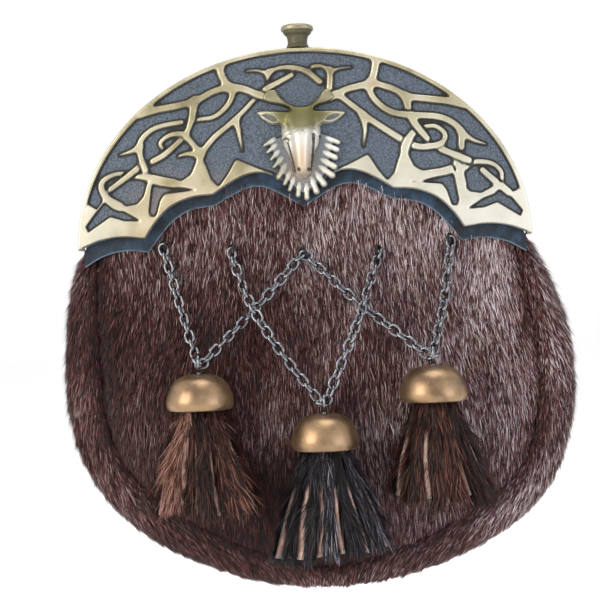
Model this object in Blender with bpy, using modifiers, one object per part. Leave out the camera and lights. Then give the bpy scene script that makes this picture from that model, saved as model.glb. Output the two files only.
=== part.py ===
# A dress sporran: a fur pouch under a cast brass cantle with a stag's head, three domed tassels on chains.
# Metres, +Z up, the front faces -Y. The origin is at the back, midway between the two belt loops.
# The chains' routes and the knotwork are charted by hand. Everything else follows the named sizes.

import math
from collections import namedtuple

import bmesh
import bpy
from mathutils import Matrix, Vector
from mathutils.bvhtree import BVHTree

# Fits
GAP = 0.0003  # between pieces that touch

# Cantle, the cast plate across the top. Its two lower corners are level with the origin.
CANTLE_HALF_WIDTH = 0.0915
CANTLE_HEIGHT = 0.0775
CANTLE_THICKNESS = 0.0022
CANTLE_CROWN = 0.005  # how far the middle stands in front of the corners
RELIEF = 0.0013  # rim, border and straps above the sunk ground
RIM_WIDTH = 0.0026
RIM_WALL = 0.0016
RIM_RETURN = 0.006  # the rim's edge, turned back over the pouch
STRAP_WIDTH = 0.0027

# Pouch. The seam is the line where the front panel meets the gusset.
SEAM_HALF_WIDTH = 0.088
SEAM_TOP = 0.071
POUCH_DROP = 0.132  # from the cantle's corners down to the seam's lowest point
POUCH_LEAN = 0.0040  # the filled pouch sags to one side
TOP_DEPTH = 0.0214
BELLY_DEPTH = 0.026
FOOT_DEPTH = 0.021
PANEL_BULGE = 0.012
GUSSET_BULGE = 0.0150
TOP_BAND_BULGE = 0.003
HIDE = 0.003  # fur hide with its felted root
LEATHER = 0.002
BACK_SPREAD = 0.002  # how far the back panel reaches past the seam

# Back: mouth, flap, stud and belt loops
MOUTH_WIDTH = 0.088
MOUTH_HEIGHT = 0.030
MOUTH_FOOT = 0.009
FLAP_MARGIN = 0.009
STUD_RADIUS = 0.005
STUD_HEIGHT = 0.006
LOOP_CENTRE = 0.0665
LOOP_WIDTH = 0.014
BELT_WIDTH = 0.026
BELT_ROOM = 0.0048
LOOP_FOOT = 0.006

# Finial on top
KNOB_RADIUS = 0.0066
KNOB_HEIGHT = 0.0094

# Stag's head
HEAD_HEIGHT = 0.030
HEAD_FOOT = 0.0252  # the muzzle's tip above the cantle's corners
HEAD_HALF_WIDTH = 0.0086
HEAD_RELIEF = 0.0085
EAR_SPAN = 0.0178
RUFF_RADIUS = 0.0215
RUFF_PLATE = 0.0009
RUFF_LOCKS = 21
LOCK_RELIEF = 0.0013
LOCK_SINK = 0.0004
EAR_HALF_HEIGHT = 0.0027
EAR_RELIEF = 0.0030
RUFF_SWEEP = 212  # degrees that the locks cover, from one ear round the chin to the other

# Tassels and chains
CHAIN_RADIUS = 0.0020
CHAIN_STEP = 0.0095  # between two points along a chain
CHAIN_FINE = 12
RING_WIRE = 0.0006
RING_ROOM = 0.0007  # clearance of a chain in its ring
STUB_RADIUS = 0.0009
EYE_SET = 0.0012  # from a chain's end to the wire eye that holds it
DOME_RADIUS = 0.0132
DOME_HEIGHT = 0.0139
DOME_WALL = 0.0012
DOME_HOLE = 0.0016
SHANK_WASHER = 0.0036
WASHER_THICKNESS = 0.0012
TASSEL_STRIPS = 11
TASSEL_HEAD_RADIUS = 0.0059
TASSEL_DEPTH = 0.0115
STRIP_RIDGE = 0.0013
STRIP_CUT = 0.0022  # how much shorter the fur between two strips is
CUT_UNEVEN = 0.0016

# The pouch's seam from the cantle's corners down to the lowest point: shares of POUCH_DROP, of
# SEAM_HALF_WIDTH on the left and on the right, and of GUSSET_BULGE.
SeamRow = namedtuple("SeamRow", "down left right bulge")
SEAM_ROWS = (
    SeamRow(0.00, 0.955, 0.955, 0.40),
    SeamRow(0.15, 0.985, 0.982, 0.74),
    SeamRow(0.33, 1.000, 1.000, 0.97),
    SeamRow(0.49, 0.990, 1.000, 1.00),
    SeamRow(0.61, 0.945, 0.965, 1.00),
    SeamRow(0.71, 0.855, 0.905, 1.02),
    SeamRow(0.802, 0.700, 0.755, 1.07),
    SeamRow(0.883, 0.490, 0.545, 1.00),
    SeamRow(0.953, 0.252, 0.285, 0.84),
    SeamRow(0.992, 0.000, 0.000, 0.60),
)

# Half of the cantle's lower edge, corner to centre: shares of its half width and height. A cusp is where two
# scallops meet.
EdgeRow = namedtuple("EdgeRow", "across up cusp")
CANTLE_EDGE = (
    EdgeRow(1.000, 0.000, True),
    EdgeRow(0.900, 0.045, False),
    EdgeRow(0.800, 0.060, False),
    EdgeRow(0.700, 0.047, True),
    EdgeRow(0.655, 0.125, False),
    EdgeRow(0.585, 0.205, False),
    EdgeRow(0.490, 0.250, False),
    EdgeRow(0.395, 0.260, True),
    EdgeRow(0.325, 0.312, False),
    EdgeRow(0.255, 0.352, False),
    EdgeRow(0.185, 0.364, False),
    EdgeRow(0.115, 0.335, False),
    EdgeRow(0.000, 0.235, True),
)
TRIM_EDGE = (
    EdgeRow(0.978, -0.090, True),
    EdgeRow(0.890, -0.035, False),
    EdgeRow(0.790, -0.012, False),
    EdgeRow(0.690, -0.024, True),
    EdgeRow(0.640, 0.052, False),
    EdgeRow(0.580, 0.130, False),
    EdgeRow(0.500, 0.186, False),
    EdgeRow(0.390, 0.205, True),
    EdgeRow(0.325, 0.246, False),
    EdgeRow(0.255, 0.285, False),
    EdgeRow(0.185, 0.294, False),
    EdgeRow(0.115, 0.262, False),
    EdgeRow(0.000, 0.180, True),
)
TRIM_INSET = 0.0030  # the trim's arc inside the cantle's

# The raised border above the scalloped edge, with two slots in it, in percent of the cantle's half width and
# height.
BORDER_TOP = (
    (12, 35.5), (20, 39), (29, 44), (33, 36), (37, 30), (40, 34), (42, 41), (45, 49), (47, 42), (49, 37),
    (53, 34), (60, 34.5), (67, 38), (68.5, 33), (70, 27), (73, 23), (78, 22), (83, 25), (87, 27), (91, 21),
    (95, 24), (99, 14),
)
CORNER_SLOT = (
    (95, 9.5), (96, 12), (92, 18), (87, 25), (84, 21), (79, 19), (72, 14), (79, 14.5), (85, 17), (89, 14),
)
HOOK_SLOT = (
    (67, 16), (68, 18), (66, 33), (63, 31.5), (53, 30), (47, 28.8), (61, 27.5), (63, 24), (65, 16),
)

# The knotwork straps, in percent of the cantle's half width (left is minus) and height. Width is in shares of
# STRAP_WIDTH at the first and the last point.
Strap = namedtuple("Strap", "points start end")
STRAPS = (
    Strap(((-34, 94), (-34, 88), (-31, 81)), 1.2, 1.2),
    Strap(((-31, 81), (-25, 80), (-19, 77), (-14, 74.5), (-9, 73)), 1.2, 1.0),
    Strap(((-31, 81), (-38, 79), (-45, 75), (-54, 72.5), (-63, 71), (-70, 69)), 1.0, 1.2),
    Strap(((-46, 75), (-47, 69), (-48, 64), (-50, 58)), 1.4, 0.8),
    Strap(((-29, 80), (-30, 75), (-33, 70), (-38, 66), (-45, 65)), 1.0, 0.7),
    Strap(((-52, 64), (-59, 63), (-65, 61), (-70, 56), (-71, 50), (-70, 44), (-67.4, 36)), 0.8, 1.0),
    Strap(((-71, 52), (-75, 50), (-80, 48.5)), 1.0, 0.4),
    Strap(((-44.6, 48), (-51, 57), (-56, 58), (-60, 56), (-62, 53), (-60, 50)), 1.0, 0.6),
    Strap(((-44.2, 46.6), (-50, 47.6), (-54, 46.5)), 1.0, 0.5),
    Strap(((-44, 47.3), (-38.5, 55), (-32, 61), (-26, 67), (-20, 74)), 1.1, 0.8),
    Strap(((-28, 63), (-27, 56), (-26, 48)), 1.0, 0.4),
    Strap(((-53, 54.5), (-57, 50.5), (-61, 47), (-65.5, 44.5)), 1.2, 1.2),
    Strap(((-72, 41.5), (-77, 37), (-84.5, 31)), 1.2, 1.0),
    Strap(((-74, 37), (-67, 36), (-57, 33)), 0.7, 1.3),
    Strap(((-75, 37.5), (-79, 39), (-84, 38), (-88, 35), (-88.5, 31), (-86, 26), (-81, 22)), 0.6, 1.3),
    Strap(((34, 93), (33, 86), (31, 80)), 1.2, 1.2),
    Strap(((31, 80), (26, 79), (19, 77), (13, 73)), 1.2, 0.9),
    Strap(((31, 81), (41, 77), (47, 73), (55, 71.5), (64, 70), (71, 68)), 1.0, 1.2),
    Strap(((46, 73), (47, 69), (47, 66)), 1.3, 1.1),
    Strap(((49, 60.5), (51, 57), (55, 51)), 1.2, 1.0),
    Strap(((30, 79), (32, 73), (37, 67), (43, 64), (51, 63), (60, 62), (66, 59), (70, 54), (70, 46)), 1, 1.1),
    Strap(((70, 54), (75, 49.5), (81, 47)), 1.0, 0.4),
    Strap(((54, 57), (59, 57), (63, 53), (62, 49), (58, 47), (53, 46.5), (48.5, 47.5)), 0.7, 1.1),
    Strap(((50, 55.5), (47, 51), (45, 46)), 1.1, 1.3),
    Strap(((10, 73), (16, 75), (23, 69), (29, 63), (36, 57), (43.5, 51)), 0.9, 1.1),
    Strap(((27, 64), (28, 57), (27, 48)), 1.1, 0.4),
    Strap(((61, 45), (66, 42.5), (73, 39)), 1.1, 1.1),
    Strap(((71, 35), (76, 38), (83, 37), (87, 33), (87.5, 29)), 0.9, 0.7),
    Strap(((79, 33.5), (84, 28), (90, 22)), 1.0, 1.2),
    Strap(((68, 38.5), (69, 33), (70, 27)), 1.1, 1.2),
    Strap(((66, 34.5), (57, 33), (51, 31)), 0.8, 1.3),
    Strap(((9, 82), (4, 87), (-1, 89.5), (-7, 90), (-11, 89), (-14, 87.5), (-18, 89), (-23, 89)), 1.0, 0.4),
    Strap(((-13, 88), (-14, 84)), 1.0, 0.5),
    Strap(((-15, 79), (-9, 82.5), (-3, 86)), 1.2, 0.8),
    Strap(((6, 90), (10, 90), (14, 87.5), (18, 88.5), (23, 89)), 0.7, 0.4),
    Strap(((13.5, 88), (13.5, 83), (13, 77.5)), 1.0, 1.0),
)

# The head from crown to muzzle: shares of HEAD_HEIGHT up from the muzzle, HEAD_HALF_WIDTH and HEAD_RELIEF.
HeadRow = namedtuple("HeadRow", "up half relief")
HEAD_ROWS = (
    HeadRow(0.97, 0.62, 0.30),
    HeadRow(0.86, 0.98, 0.62),
    HeadRow(0.70, 0.96, 0.90),
    HeadRow(0.58, 0.90, 1.00),
    HeadRow(0.46, 0.70, 0.98),
    HeadRow(0.28, 0.50, 0.93),
    HeadRow(0.10, 0.42, 0.86),
    HeadRow(0.02, 0.34, 0.66),
)

# An ear from its root to its tip, and a lock of the ruff from its root to its tip.
EarRow = namedtuple("EarRow", "along half relief")
EAR_ROWS = (
    EarRow(0.00, 0.80, 1.00),
    EarRow(0.35, 1.00, 0.93),
    EarRow(0.70, 0.70, 0.63),
    EarRow(1.00, 0.15, 0.27),
)
LockRow = namedtuple("LockRow", "reach half relief")
LOCK_ROWS = (
    LockRow(0.50, 0.30, 0.5),
    LockRow(0.72, 0.36, 0.9),
    LockRow(0.90, 0.26, 0.7),
    LockRow(1.00, 0.08, 0.2),
)

# Turned profiles from the axis or the hole on top down the outer side: shares of a radius and a height.
TurnedRow = namedtuple("TurnedRow", "out up")
DOME_ROWS = (
    TurnedRow(0.50, 0.97),
    TurnedRow(0.80, 0.80),
    TurnedRow(0.96, 0.51),
    TurnedRow(1.00, 0.24),
    TurnedRow(0.93, 0.00),
)
KNOB_ROWS = (
    TurnedRow(0.00, 1.00),
    TurnedRow(0.72, 0.97),
    TurnedRow(1.00, 0.85),
    TurnedRow(0.97, 0.66),
    TurnedRow(0.76, 0.58),
    TurnedRow(0.62, 0.34),
    TurnedRow(0.60, 0.00),
    TurnedRow(0.00, 0.00),
)
STUD_ROWS = (
    TurnedRow(0.00, 1.00),
    TurnedRow(0.70, 0.95),
    TurnedRow(1.00, 0.72),
    TurnedRow(0.92, 0.50),
    TurnedRow(0.50, 0.36),
    TurnedRow(0.50, 0.00),
    TurnedRow(0.00, 0.00),
)

# The chains' routes: chosen points, x and z, how far the chain's middle stands in front of the hide, and
# whether it runs through a ring there.
ChainPoint = namedtuple("ChainPoint", "x z lie ring")
OUTER_ROUTE = (
    ChainPoint(-0.0570, -0.0010, 0.0040, True),
    ChainPoint(-0.0508, -0.0230, 0.0080, False),
    ChainPoint(-0.0433, -0.0463, 0.0145, True),
    ChainPoint(-0.0210, -0.0263, 0.0072, False),
    ChainPoint(-0.0010, -0.0062, 0.0042, True),
    ChainPoint(0.0215, -0.0265, 0.0072, False),
    ChainPoint(0.0475, -0.0463, 0.0145, True),
    ChainPoint(0.0546, -0.0230, 0.0080, False),
    ChainPoint(0.0584, -0.0022, 0.0040, True),
)
INNER_ROUTE = (
    ChainPoint(-0.0296, -0.0036, 0.0040, True),
    ChainPoint(-0.0262, -0.0150, 0.0075, False),
    ChainPoint(-0.0212, -0.0265, 0.0125, False),
    ChainPoint(-0.0120, -0.0420, 0.0130, False),
    ChainPoint(0.0047, -0.0632, 0.0145, True),
    ChainPoint(0.0150, -0.0420, 0.0130, False),
    ChainPoint(0.0215, -0.0265, 0.0125, False),
    ChainPoint(0.0255, -0.0160, 0.0075, False),
    ChainPoint(0.0292, -0.0060, 0.0040, True),
)

# The tassels: which route and which of its points carries each, how long and wide it hangs from its head
# inside the dome, and how far its foot sways to the right.
Tassel = namedtuple("Tassel", "name route point length half_width sway")
TASSELS = (
    Tassel("left", OUTER_ROUTE, 2, 0.0500, 0.0186, 0.0016),
    Tassel("middle", INNER_ROUTE, 4, 0.0505, 0.0218, 0.0012),
    Tassel("right", OUTER_ROUTE, 6, 0.0490, 0.0190, 0.0026),
)
EYELETS = (
    ("outer_left", OUTER_ROUTE, 0),
    ("centre", OUTER_ROUTE, 4),
    ("outer_right", OUTER_ROUTE, 8),
    ("inner_left", INNER_ROUTE, 0),
    ("inner_right", INNER_ROUTE, 8),
)

# A tassel from its head inside the dome down to its cut ends: shares of its length, of its spread and of
# STRIP_RIDGE.
TasselRow = namedtuple("TasselRow", "down spread ridge")
TASSEL_ROWS = (
    TasselRow(0.00, 0.00, 0.0),
    TasselRow(0.25, 0.20, 0.4),
    TasselRow(0.45, 0.42, 0.7),
    TasselRow(0.72, 0.74, 0.9),
    TasselRow(1.00, 1.00, 1.0),
)

# Colours as linear red, green and blue, then roughness and metallic.
Finish = namedtuple("Finish", "colour roughness metallic")
FINISHES = {
    "cast_brass": Finish((0.52, 0.42, 0.22), 0.38, 1.0),
    "aged_brass": Finish((0.39, 0.25, 0.10), 0.35, 1.0),
    "gunmetal_steel": Finish((0.16, 0.16, 0.17), 0.35, 1.0),
    "trim_leather": Finish((0.025, 0.045, 0.070), 0.55, 0.0),
    "back_leather": Finish((0.012, 0.011, 0.011), 0.60, 0.0),
    "brown_fur": Finish((0.050, 0.022, 0.016), 0.85, 0.0),
    "chestnut_hair": Finish((0.120, 0.045, 0.026), 0.85, 0.0),
    "black_hair": Finish((0.012, 0.013, 0.022), 0.85, 0.0),
}


def clear_scene():
    for item in list(bpy.data.objects):
        bpy.data.objects.remove(item, do_unlink=True)


def new_collection(name):
    made = bpy.data.collections.new(name)
    bpy.context.scene.collection.children.link(made)
    return made


clear_scene()
PARTS = new_collection("sporran_pouch")
HELPERS = new_collection("helpers")


def finish(name):
    """The material of that name, made the first time it is asked for."""
    if name not in bpy.data.materials:
        made = bpy.data.materials.new(name)
        made.use_nodes = True
        shader = made.node_tree.nodes["Principled BSDF"]
        shader.inputs["Base Color"].default_value = (*FINISHES[name].colour, 1)
        shader.inputs["Roughness"].default_value = FINISHES[name].roughness
        shader.inputs["Metallic"].default_value = FINISHES[name].metallic
    return bpy.data.materials[name]


def part(name, mesh, material, smooth_angle=35):
    """A named piece of the sporran from a finished mesh."""
    made = bpy.data.objects.new(name, mesh)
    mesh.name = name
    mesh.materials.clear()
    mesh.materials.append(finish(material))
    mesh.shade_smooth()
    mesh.set_sharp_from_angle(angle=math.radians(smooth_angle))
    PARTS.objects.link(made)
    return made


def helper(mesh):
    """A body that is only joined to, or cut from, another."""
    made = bpy.data.objects.new("helper", mesh)
    made.hide_render = True
    made.display_type = "WIRE"
    HELPERS.objects.link(made)
    return made


def applied(item):
    """The mesh that an object's modifiers give. The object goes."""
    bpy.context.view_layer.update()
    graph = bpy.context.evaluated_depsgraph_get()
    mesh = bpy.data.meshes.new_from_object(item.evaluated_get(graph))
    mesh.transform(item.matrix_world)
    bpy.data.objects.remove(item, do_unlink=True)
    return mesh


def weld(mesh):
    """Merges the doubled points of a closed mesh and turns its faces out."""
    form = bmesh.new()
    form.from_mesh(mesh)
    bmesh.ops.remove_doubles(form, verts=form.verts, dist=1e-6)
    bmesh.ops.recalc_face_normals(form, faces=form.faces)
    form.to_mesh(mesh)
    form.free()
    return mesh


def combined(mesh, others, operation="UNION"):
    """A body with other bodies joined to it, or cut from it."""
    body = helper(mesh)
    pieces = [helper(other) for other in others]
    group = bpy.data.collections.new("operands")
    bpy.context.scene.collection.children.link(group)
    for piece in pieces:
        group.objects.link(piece)
    boolean = body.modifiers.new("join", "BOOLEAN")
    boolean.operation = operation
    boolean.solver = "EXACT"
    boolean.operand_type = "COLLECTION"
    boolean.collection = group
    made = applied(body)
    for piece in pieces:
        bpy.data.objects.remove(piece, do_unlink=True)
    bpy.data.collections.remove(group)
    return weld(made)


def between(a, b, share):
    return a + (b - a) * share


def smooth_step(share):
    share = min(max(share, 0.0), 1.0)
    return share * share * (3 - 2 * share)


def smooth_line(points, steps):
    """Points along a Catmull-Rom curve through the given points, in that many steps from one to the next."""
    points = [Vector(p) for p in points]
    ends = [points[0] * 2 - points[1]] + points + [points[-1] * 2 - points[-2]]
    line = []
    for before, start, end, after in zip(ends, ends[1:], ends[2:], ends[3:]):
        for k in range(steps):
            t = k / steps
            line.append(
                0.5
                * (
                    2 * start
                    + (end - before) * t
                    + (2 * before - 5 * start + 4 * end - after) * t * t
                    + (3 * start - before - 3 * end + after) * t**3
                )
            )
    line.append(points[-1])
    return line


def crown(x):
    """How far the cantle and what lies behind it bow forward at x."""
    return CANTLE_CROWN * (1 - min(abs(x) / CANTLE_HALF_WIDTH, 1.0) ** 2)


# Where each layer's front face lies at the crown's foot, from the hide forward.
PANEL_FACE = -TOP_DEPTH
TRIM_BACK = PANEL_FACE - GAP
TRIM_FACE = TRIM_BACK - LEATHER
CANTLE_BACK = TRIM_FACE - GAP
CANTLE_FACE = CANTLE_BACK - CANTLE_THICKNESS


def seam_y(x, z):
    """The pouch's front, at its seam and behind the cantle."""
    drop = -z / POUCH_DROP
    depth = between(TOP_DEPTH, BELLY_DEPTH, smooth_step((drop - 0.08) / 0.35))
    depth = between(depth, FOOT_DEPTH, smooth_step((drop - 0.5) / 0.5))
    return -depth - crown(x) * (1 - smooth_step((drop - 0.06) / 0.34))


def lean(z):
    return POUCH_LEAN * smooth_step(-z / POUCH_DROP / 0.38)


def lower_seam():
    """The seam from the left corner down round the bottom to the right corner, as (x, z, bulge)."""
    left = [(-row.left, row.down, row.bulge) for row in SEAM_ROWS]
    right = [(row.right, row.down, row.bulge) for row in SEAM_ROWS[-2::-1]]
    line = []
    for out, down, bulge in smooth_line(left + right, 2):
        z = -down * POUCH_DROP
        line.append((out * SEAM_HALF_WIDTH + lean(z), z, bulge * GUSSET_BULGE))
    return line


def upper_seam(steps=16):
    """The seam from the right corner over the top to the left corner, behind the cantle."""
    corner = SEAM_ROWS[0].left * SEAM_HALF_WIDTH
    angles = [math.pi * k / steps for k in range(steps + 1)]
    return [(corner * math.cos(a), SEAM_TOP * math.sin(a), TOP_BAND_BULGE) for a in angles]


def outward(line):
    """Unit normals in the X-Z plane that point out of the pouch, for a line that runs anticlockwise."""
    made = []
    for k in range(len(line)):
        before = line[max(k - 1, 0)]
        after = line[min(k + 1, len(line) - 1)]
        along = Vector((after[0] - before[0], after[1] - before[1])).normalized()
        made.append(Vector((along[1], -along[0])))
    return made


def loft(rings, wrap):
    """A closed mesh through rings of points. Each ring is closed. The rings close on each other with wrap, or
    else the first and the last are capped."""
    form = bmesh.new()
    loops = [[form.verts.new(p) for p in ring] for ring in rings]
    pairs = list(zip(loops, loops[1:])) + ([(loops[-1], loops[0])] if wrap else [])
    for one, other in pairs:
        for k in range(len(one)):
            following = (k + 1) % len(one)
            form.faces.new((one[k], one[following], other[following], other[k]))
    if not wrap:
        form.faces.new(loops[0])
        form.faces.new(loops[-1])
    mesh = bpy.data.meshes.new("loft")
    bmesh.ops.recalc_face_normals(form, faces=form.faces)
    form.to_mesh(mesh)
    form.free()
    return mesh


def side_wall(line, thickness, steps=6):
    """A rounded wall along a stretch of the seam, from the front panel's edge to the back panel's."""
    rings = []
    for (x, z, bulge), normal in zip(line, outward(line)):
        front = seam_y(x, z)

        def point(share, swell, near, far):
            angle = math.pi * share
            depth = (1 - math.cos(angle)) / 2
            out = GAP + swell * math.sin(angle) + BACK_SPREAD * depth
            return (x + normal[0] * out, between(near, far, depth), z + normal[1] * out)

        outer = [point(k / steps, bulge, front, 0) for k in range(steps + 1)]
        inner = [point(k / steps, bulge - thickness, front + thickness, -thickness) for k in range(steps + 1)]
        rings.append(outer + inner[::-1])
    return loft(rings, wrap=False)


def inner_end(line, shift):
    """The line with its two ends pulled in along it by shift."""
    trimmed = list(line)
    for end, nearby in ((0, 1), (-1, -2)):
        start = Vector(trimmed[end])
        trimmed[end] = tuple(start + (Vector(trimmed[nearby]) - start).normalized() * shift)
    return trimmed


def gusset():
    part("gusset", side_wall(inner_end(lower_seam(), GAP), HIDE), "brown_fur", 60)


def top_band():
    part("top_band", side_wall(inner_end(upper_seam(), GAP), LEATHER, 3), "back_leather", 60)


def whole_seam():
    lower = lower_seam()
    upper = upper_seam()
    return [(x, z) for x, z, bulge in lower + upper[1:-1]]


def panel_centre():
    return Vector((POUCH_LEAN, -0.30 * POUCH_DROP))


def panel_y(x, z, rim_share):
    """The front panel's face, where rim_share runs from 0 at its middle to 1 at the seam."""
    fullness = smooth_step((-z / POUCH_DROP + 0.01) / 0.42)
    return seam_y(x, z) - PANEL_BULGE * fullness * (1 - rim_share**2.4)


def front_panel():
    middle = panel_centre()
    line = [Vector(p) for p in whole_seam()]
    face_shares = (1.0, 0.955, 0.87, 0.73, 0.5, 0.2)
    lining_shares = (1.0, 0.87, 0.5, 0.2)

    def ring(share, back):
        made = []
        for p in line:
            x, z = middle + (p - middle) * share
            made.append((x, panel_y(x, z, share) + back, z))
        return made

    front = [ring(share, 0) for share in face_shares]
    back = [ring(share, HIDE) for share in lining_shares]
    return part("front_panel", loft(front[::-1] + back, wrap=False), "brown_fur", 60)


def face_of(item):
    """A search tree of a finished piece's faces, to seat other pieces on them."""
    form = bmesh.new()
    form.from_mesh(item.data)
    tree = BVHTree.FromBMesh(form)
    form.free()
    return tree


def hide_y(x, z):
    """The front panel's face at any point of it."""
    hit = HIDE_FACE.ray_cast(Vector((x, -1, z)), Vector((0, 1, 0)))[0]
    return hit.y if hit else seam_y(x, z)


def flat(outlines, back, front):
    """A flat sheet in the X-Z plane. The first outline is its edge, and the others are holes through it."""
    shape = bpy.data.curves.new("flat", "CURVE")
    shape.dimensions = "2D"
    shape.fill_mode = "BOTH"
    shape.extrude = abs(back - front) / 2
    for outline in outlines:
        spline = shape.splines.new("POLY")
        spline.points.add(len(outline) - 1)
        for point, (x, z) in zip(spline.points, outline):
            point.co = (x, z, 0, 1)
        spline.use_cyclic_u = True
    made = helper(shape)
    made.matrix_world = Matrix.Translation((0, (back + front) / 2, 0)) @ Matrix.Rotation(math.pi / 2, 4, "X")
    return weld(applied(made))


def back_panel():
    line = lower_seam() + upper_seam()[1:-1]
    closed = [line[-1]] + line + [line[0]]
    spread = [n * BACK_SPREAD for n in outward(closed)[1:-1]]
    outline = [(x + out[0], z + out[1]) for (x, z, _), out in zip(line, spread)]
    half = MOUTH_WIDTH / 2
    top = MOUTH_FOOT + MOUTH_HEIGHT
    mouth = [(-half, MOUTH_FOOT), (half, MOUTH_FOOT), (half, top), (-half, top)]
    part("back_panel", flat([outline, mouth], 0, -LEATHER), "back_leather")


def back_flap():
    """The flap over the mouth, sewn on above it, with a rounded tongue."""
    half = MOUTH_WIDTH / 2 + FLAP_MARGIN
    top = MOUTH_FOOT + MOUTH_HEIGHT + FLAP_MARGIN
    foot = MOUTH_FOOT - FLAP_MARGIN
    tongue = half * 0.5
    arc = [(half * math.cos(a), foot - tongue * math.sin(a)) for a in (math.pi * k / 14 for k in range(15))]
    outline = [(-half, top), (half, top)] + arc
    part("back_flap", flat([outline], LEATHER + GAP, GAP), "back_leather")
    stud_z = foot - tongue * 0.55
    mesh = turned([(row.out * STUD_RADIUS, row.up * STUD_HEIGHT) for row in STUD_ROWS], 12)
    mesh.transform(Matrix.Translation((0, LEATHER + 2 * GAP, stud_z)) @ Matrix.Rotation(-math.pi / 2, 4, "X"))
    part("flap_stud", mesh, "aged_brass")


def belt_loops():
    """Two leather bridges that a belt strap runs through, along X."""
    half = BELT_WIDTH / 2
    inside = GAP + BELT_ROOM
    outside = inside + LEATHER
    outline = [
        (GAP, -half - LOOP_FOOT), (GAP, -half), (inside, -half), (inside, half), (GAP, half),
        (GAP, half + LOOP_FOOT), (GAP + LEATHER, half + LOOP_FOOT), (GAP + LEATHER, half + LEATHER),
        (outside, half + LEATHER), (outside, -half - LEATHER), (GAP + LEATHER, -half - LEATHER),
        (GAP + LEATHER, -half - LOOP_FOOT),
    ]
    for side, sign in (("left", -1), ("right", 1)):
        mesh = flat([outline], -LOOP_WIDTH / 2, LOOP_WIDTH / 2)
        mesh.transform(Matrix.Translation((sign * LOOP_CENTRE, 0, 0)) @ Matrix.Rotation(math.pi / 2, 4, "Z"))
        part("belt_loop_" + side, mesh, "back_leather")


def edge_line(rows):
    """The whole scalloped edge from the left corner to the right: smooth between one cusp and the next."""
    half = []
    stretch = []
    for row in rows:
        stretch.append((row.across * CANTLE_HALF_WIDTH, row.up * CANTLE_HEIGHT, 0))
        if row.cusp and len(stretch) > 1:
            half += smooth_line(stretch, 2)[:-1]
            stretch = stretch[-1:]
    half = [(p[0], p[1]) for p in half]
    middle = [(0, rows[-1].up * CANTLE_HEIGHT)]
    return [(-x, z) for x, z in half] + middle + half[::-1]


def arch(inset, steps=26):
    """The cantle's outer arc from the right corner over the top to the left, drawn in by inset."""
    wide = CANTLE_HALF_WIDTH - inset
    high = CANTLE_HEIGHT - inset
    return [(wide * math.cos(a), high * math.sin(a)) for a in (math.pi * k / steps for k in range(steps + 1))]


def on_cantle(point):
    return (point[0] / 100 * CANTLE_HALF_WIDTH, point[1] / 100 * CANTLE_HEIGHT)


def strap(spec):
    """One rounded strap, half sunk in the cantle's ground, with its width tapering from start to end."""
    line = smooth_line([(*on_cantle(p), 0) for p in spec.points], 2)
    shape = bpy.data.curves.new("strap", "CURVE")
    shape.dimensions = "3D"
    shape.bevel_depth = STRAP_WIDTH / 2
    shape.bevel_resolution = 1
    shape.use_fill_caps = True
    spline = shape.splines.new("POLY")
    spline.points.add(len(line) - 1)
    for k, (point, place) in enumerate(zip(spline.points, line)):
        point.co = (place[0], CANTLE_FACE, place[1], 1)
        point.radius = between(spec.start, spec.end, k / (len(line) - 1))
    return weld(applied(helper(shape)))


def bowed(mesh, stations=8):
    """Cuts a flat body into upright bands, then bows it forward as the crown asks."""
    form = bmesh.new()
    form.from_mesh(mesh)
    bmesh.ops.dissolve_limit(form, angle_limit=math.radians(0.5), verts=form.verts, edges=form.edges)
    for k in range(1, stations):
        x = CANTLE_HALF_WIDTH * (2 * k / stations - 1)
        everything = form.verts[:] + form.edges[:] + form.faces[:]
        bmesh.ops.bisect_plane(form, geom=everything, plane_co=(x, 0, 0), plane_no=(1, 0, 0), dist=1e-6)
    for point in form.verts:
        point.co.y -= crown(point.co.x)
    form.to_mesh(mesh)
    form.free()
    return mesh


def cantle_plate():
    lower = edge_line(CANTLE_EDGE)
    inside = [(x, max(z, RIM_WALL / 4)) for x, z in arch(RIM_WALL / 2)]
    body = flat([lower[1:-1] + inside], CANTLE_BACK, CANTLE_FACE)
    rim_face = CANTLE_FACE - RELIEF
    return_wall = flat([arch(0) + arch(RIM_WALL)[::-1]], CANTLE_BACK + RIM_RETURN, rim_face)
    rim = flat([arch(RIM_WALL / 3) + arch(RIM_WIDTH)[::-1]], CANTLE_FACE + RELIEF / 2, rim_face + GAP)
    joined = [return_wall, rim]
    for sign in (-1, 1):
        top = [(sign * x, z) for x, z in map(on_cantle, BORDER_TOP)]
        edge = [(x, z) for x, z in lower if sign * x >= BORDER_TOP[0][0] / 100 * CANTLE_HALF_WIDTH]
        edge = edge[::-1] if sign < 0 else edge
        slots = [[(sign * x, z) for x, z in map(on_cantle, slot)] for slot in (CORNER_SLOT, HOOK_SLOT)]
        joined.append(flat([edge + top[::-1]] + slots, CANTLE_FACE + RELIEF / 2, rim_face + 2 * GAP))
    joined += [strap(spec) for spec in STRAPS]
    part("cantle_plate", bowed(combined(body, joined)), "cast_brass")


def leather_trim():
    outline = edge_line(TRIM_EDGE) + arch(TRIM_INSET, 24)[1:-1]
    part("leather_trim", bowed(flat([outline], TRIM_BACK, TRIM_FACE)), "trim_leather")


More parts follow.
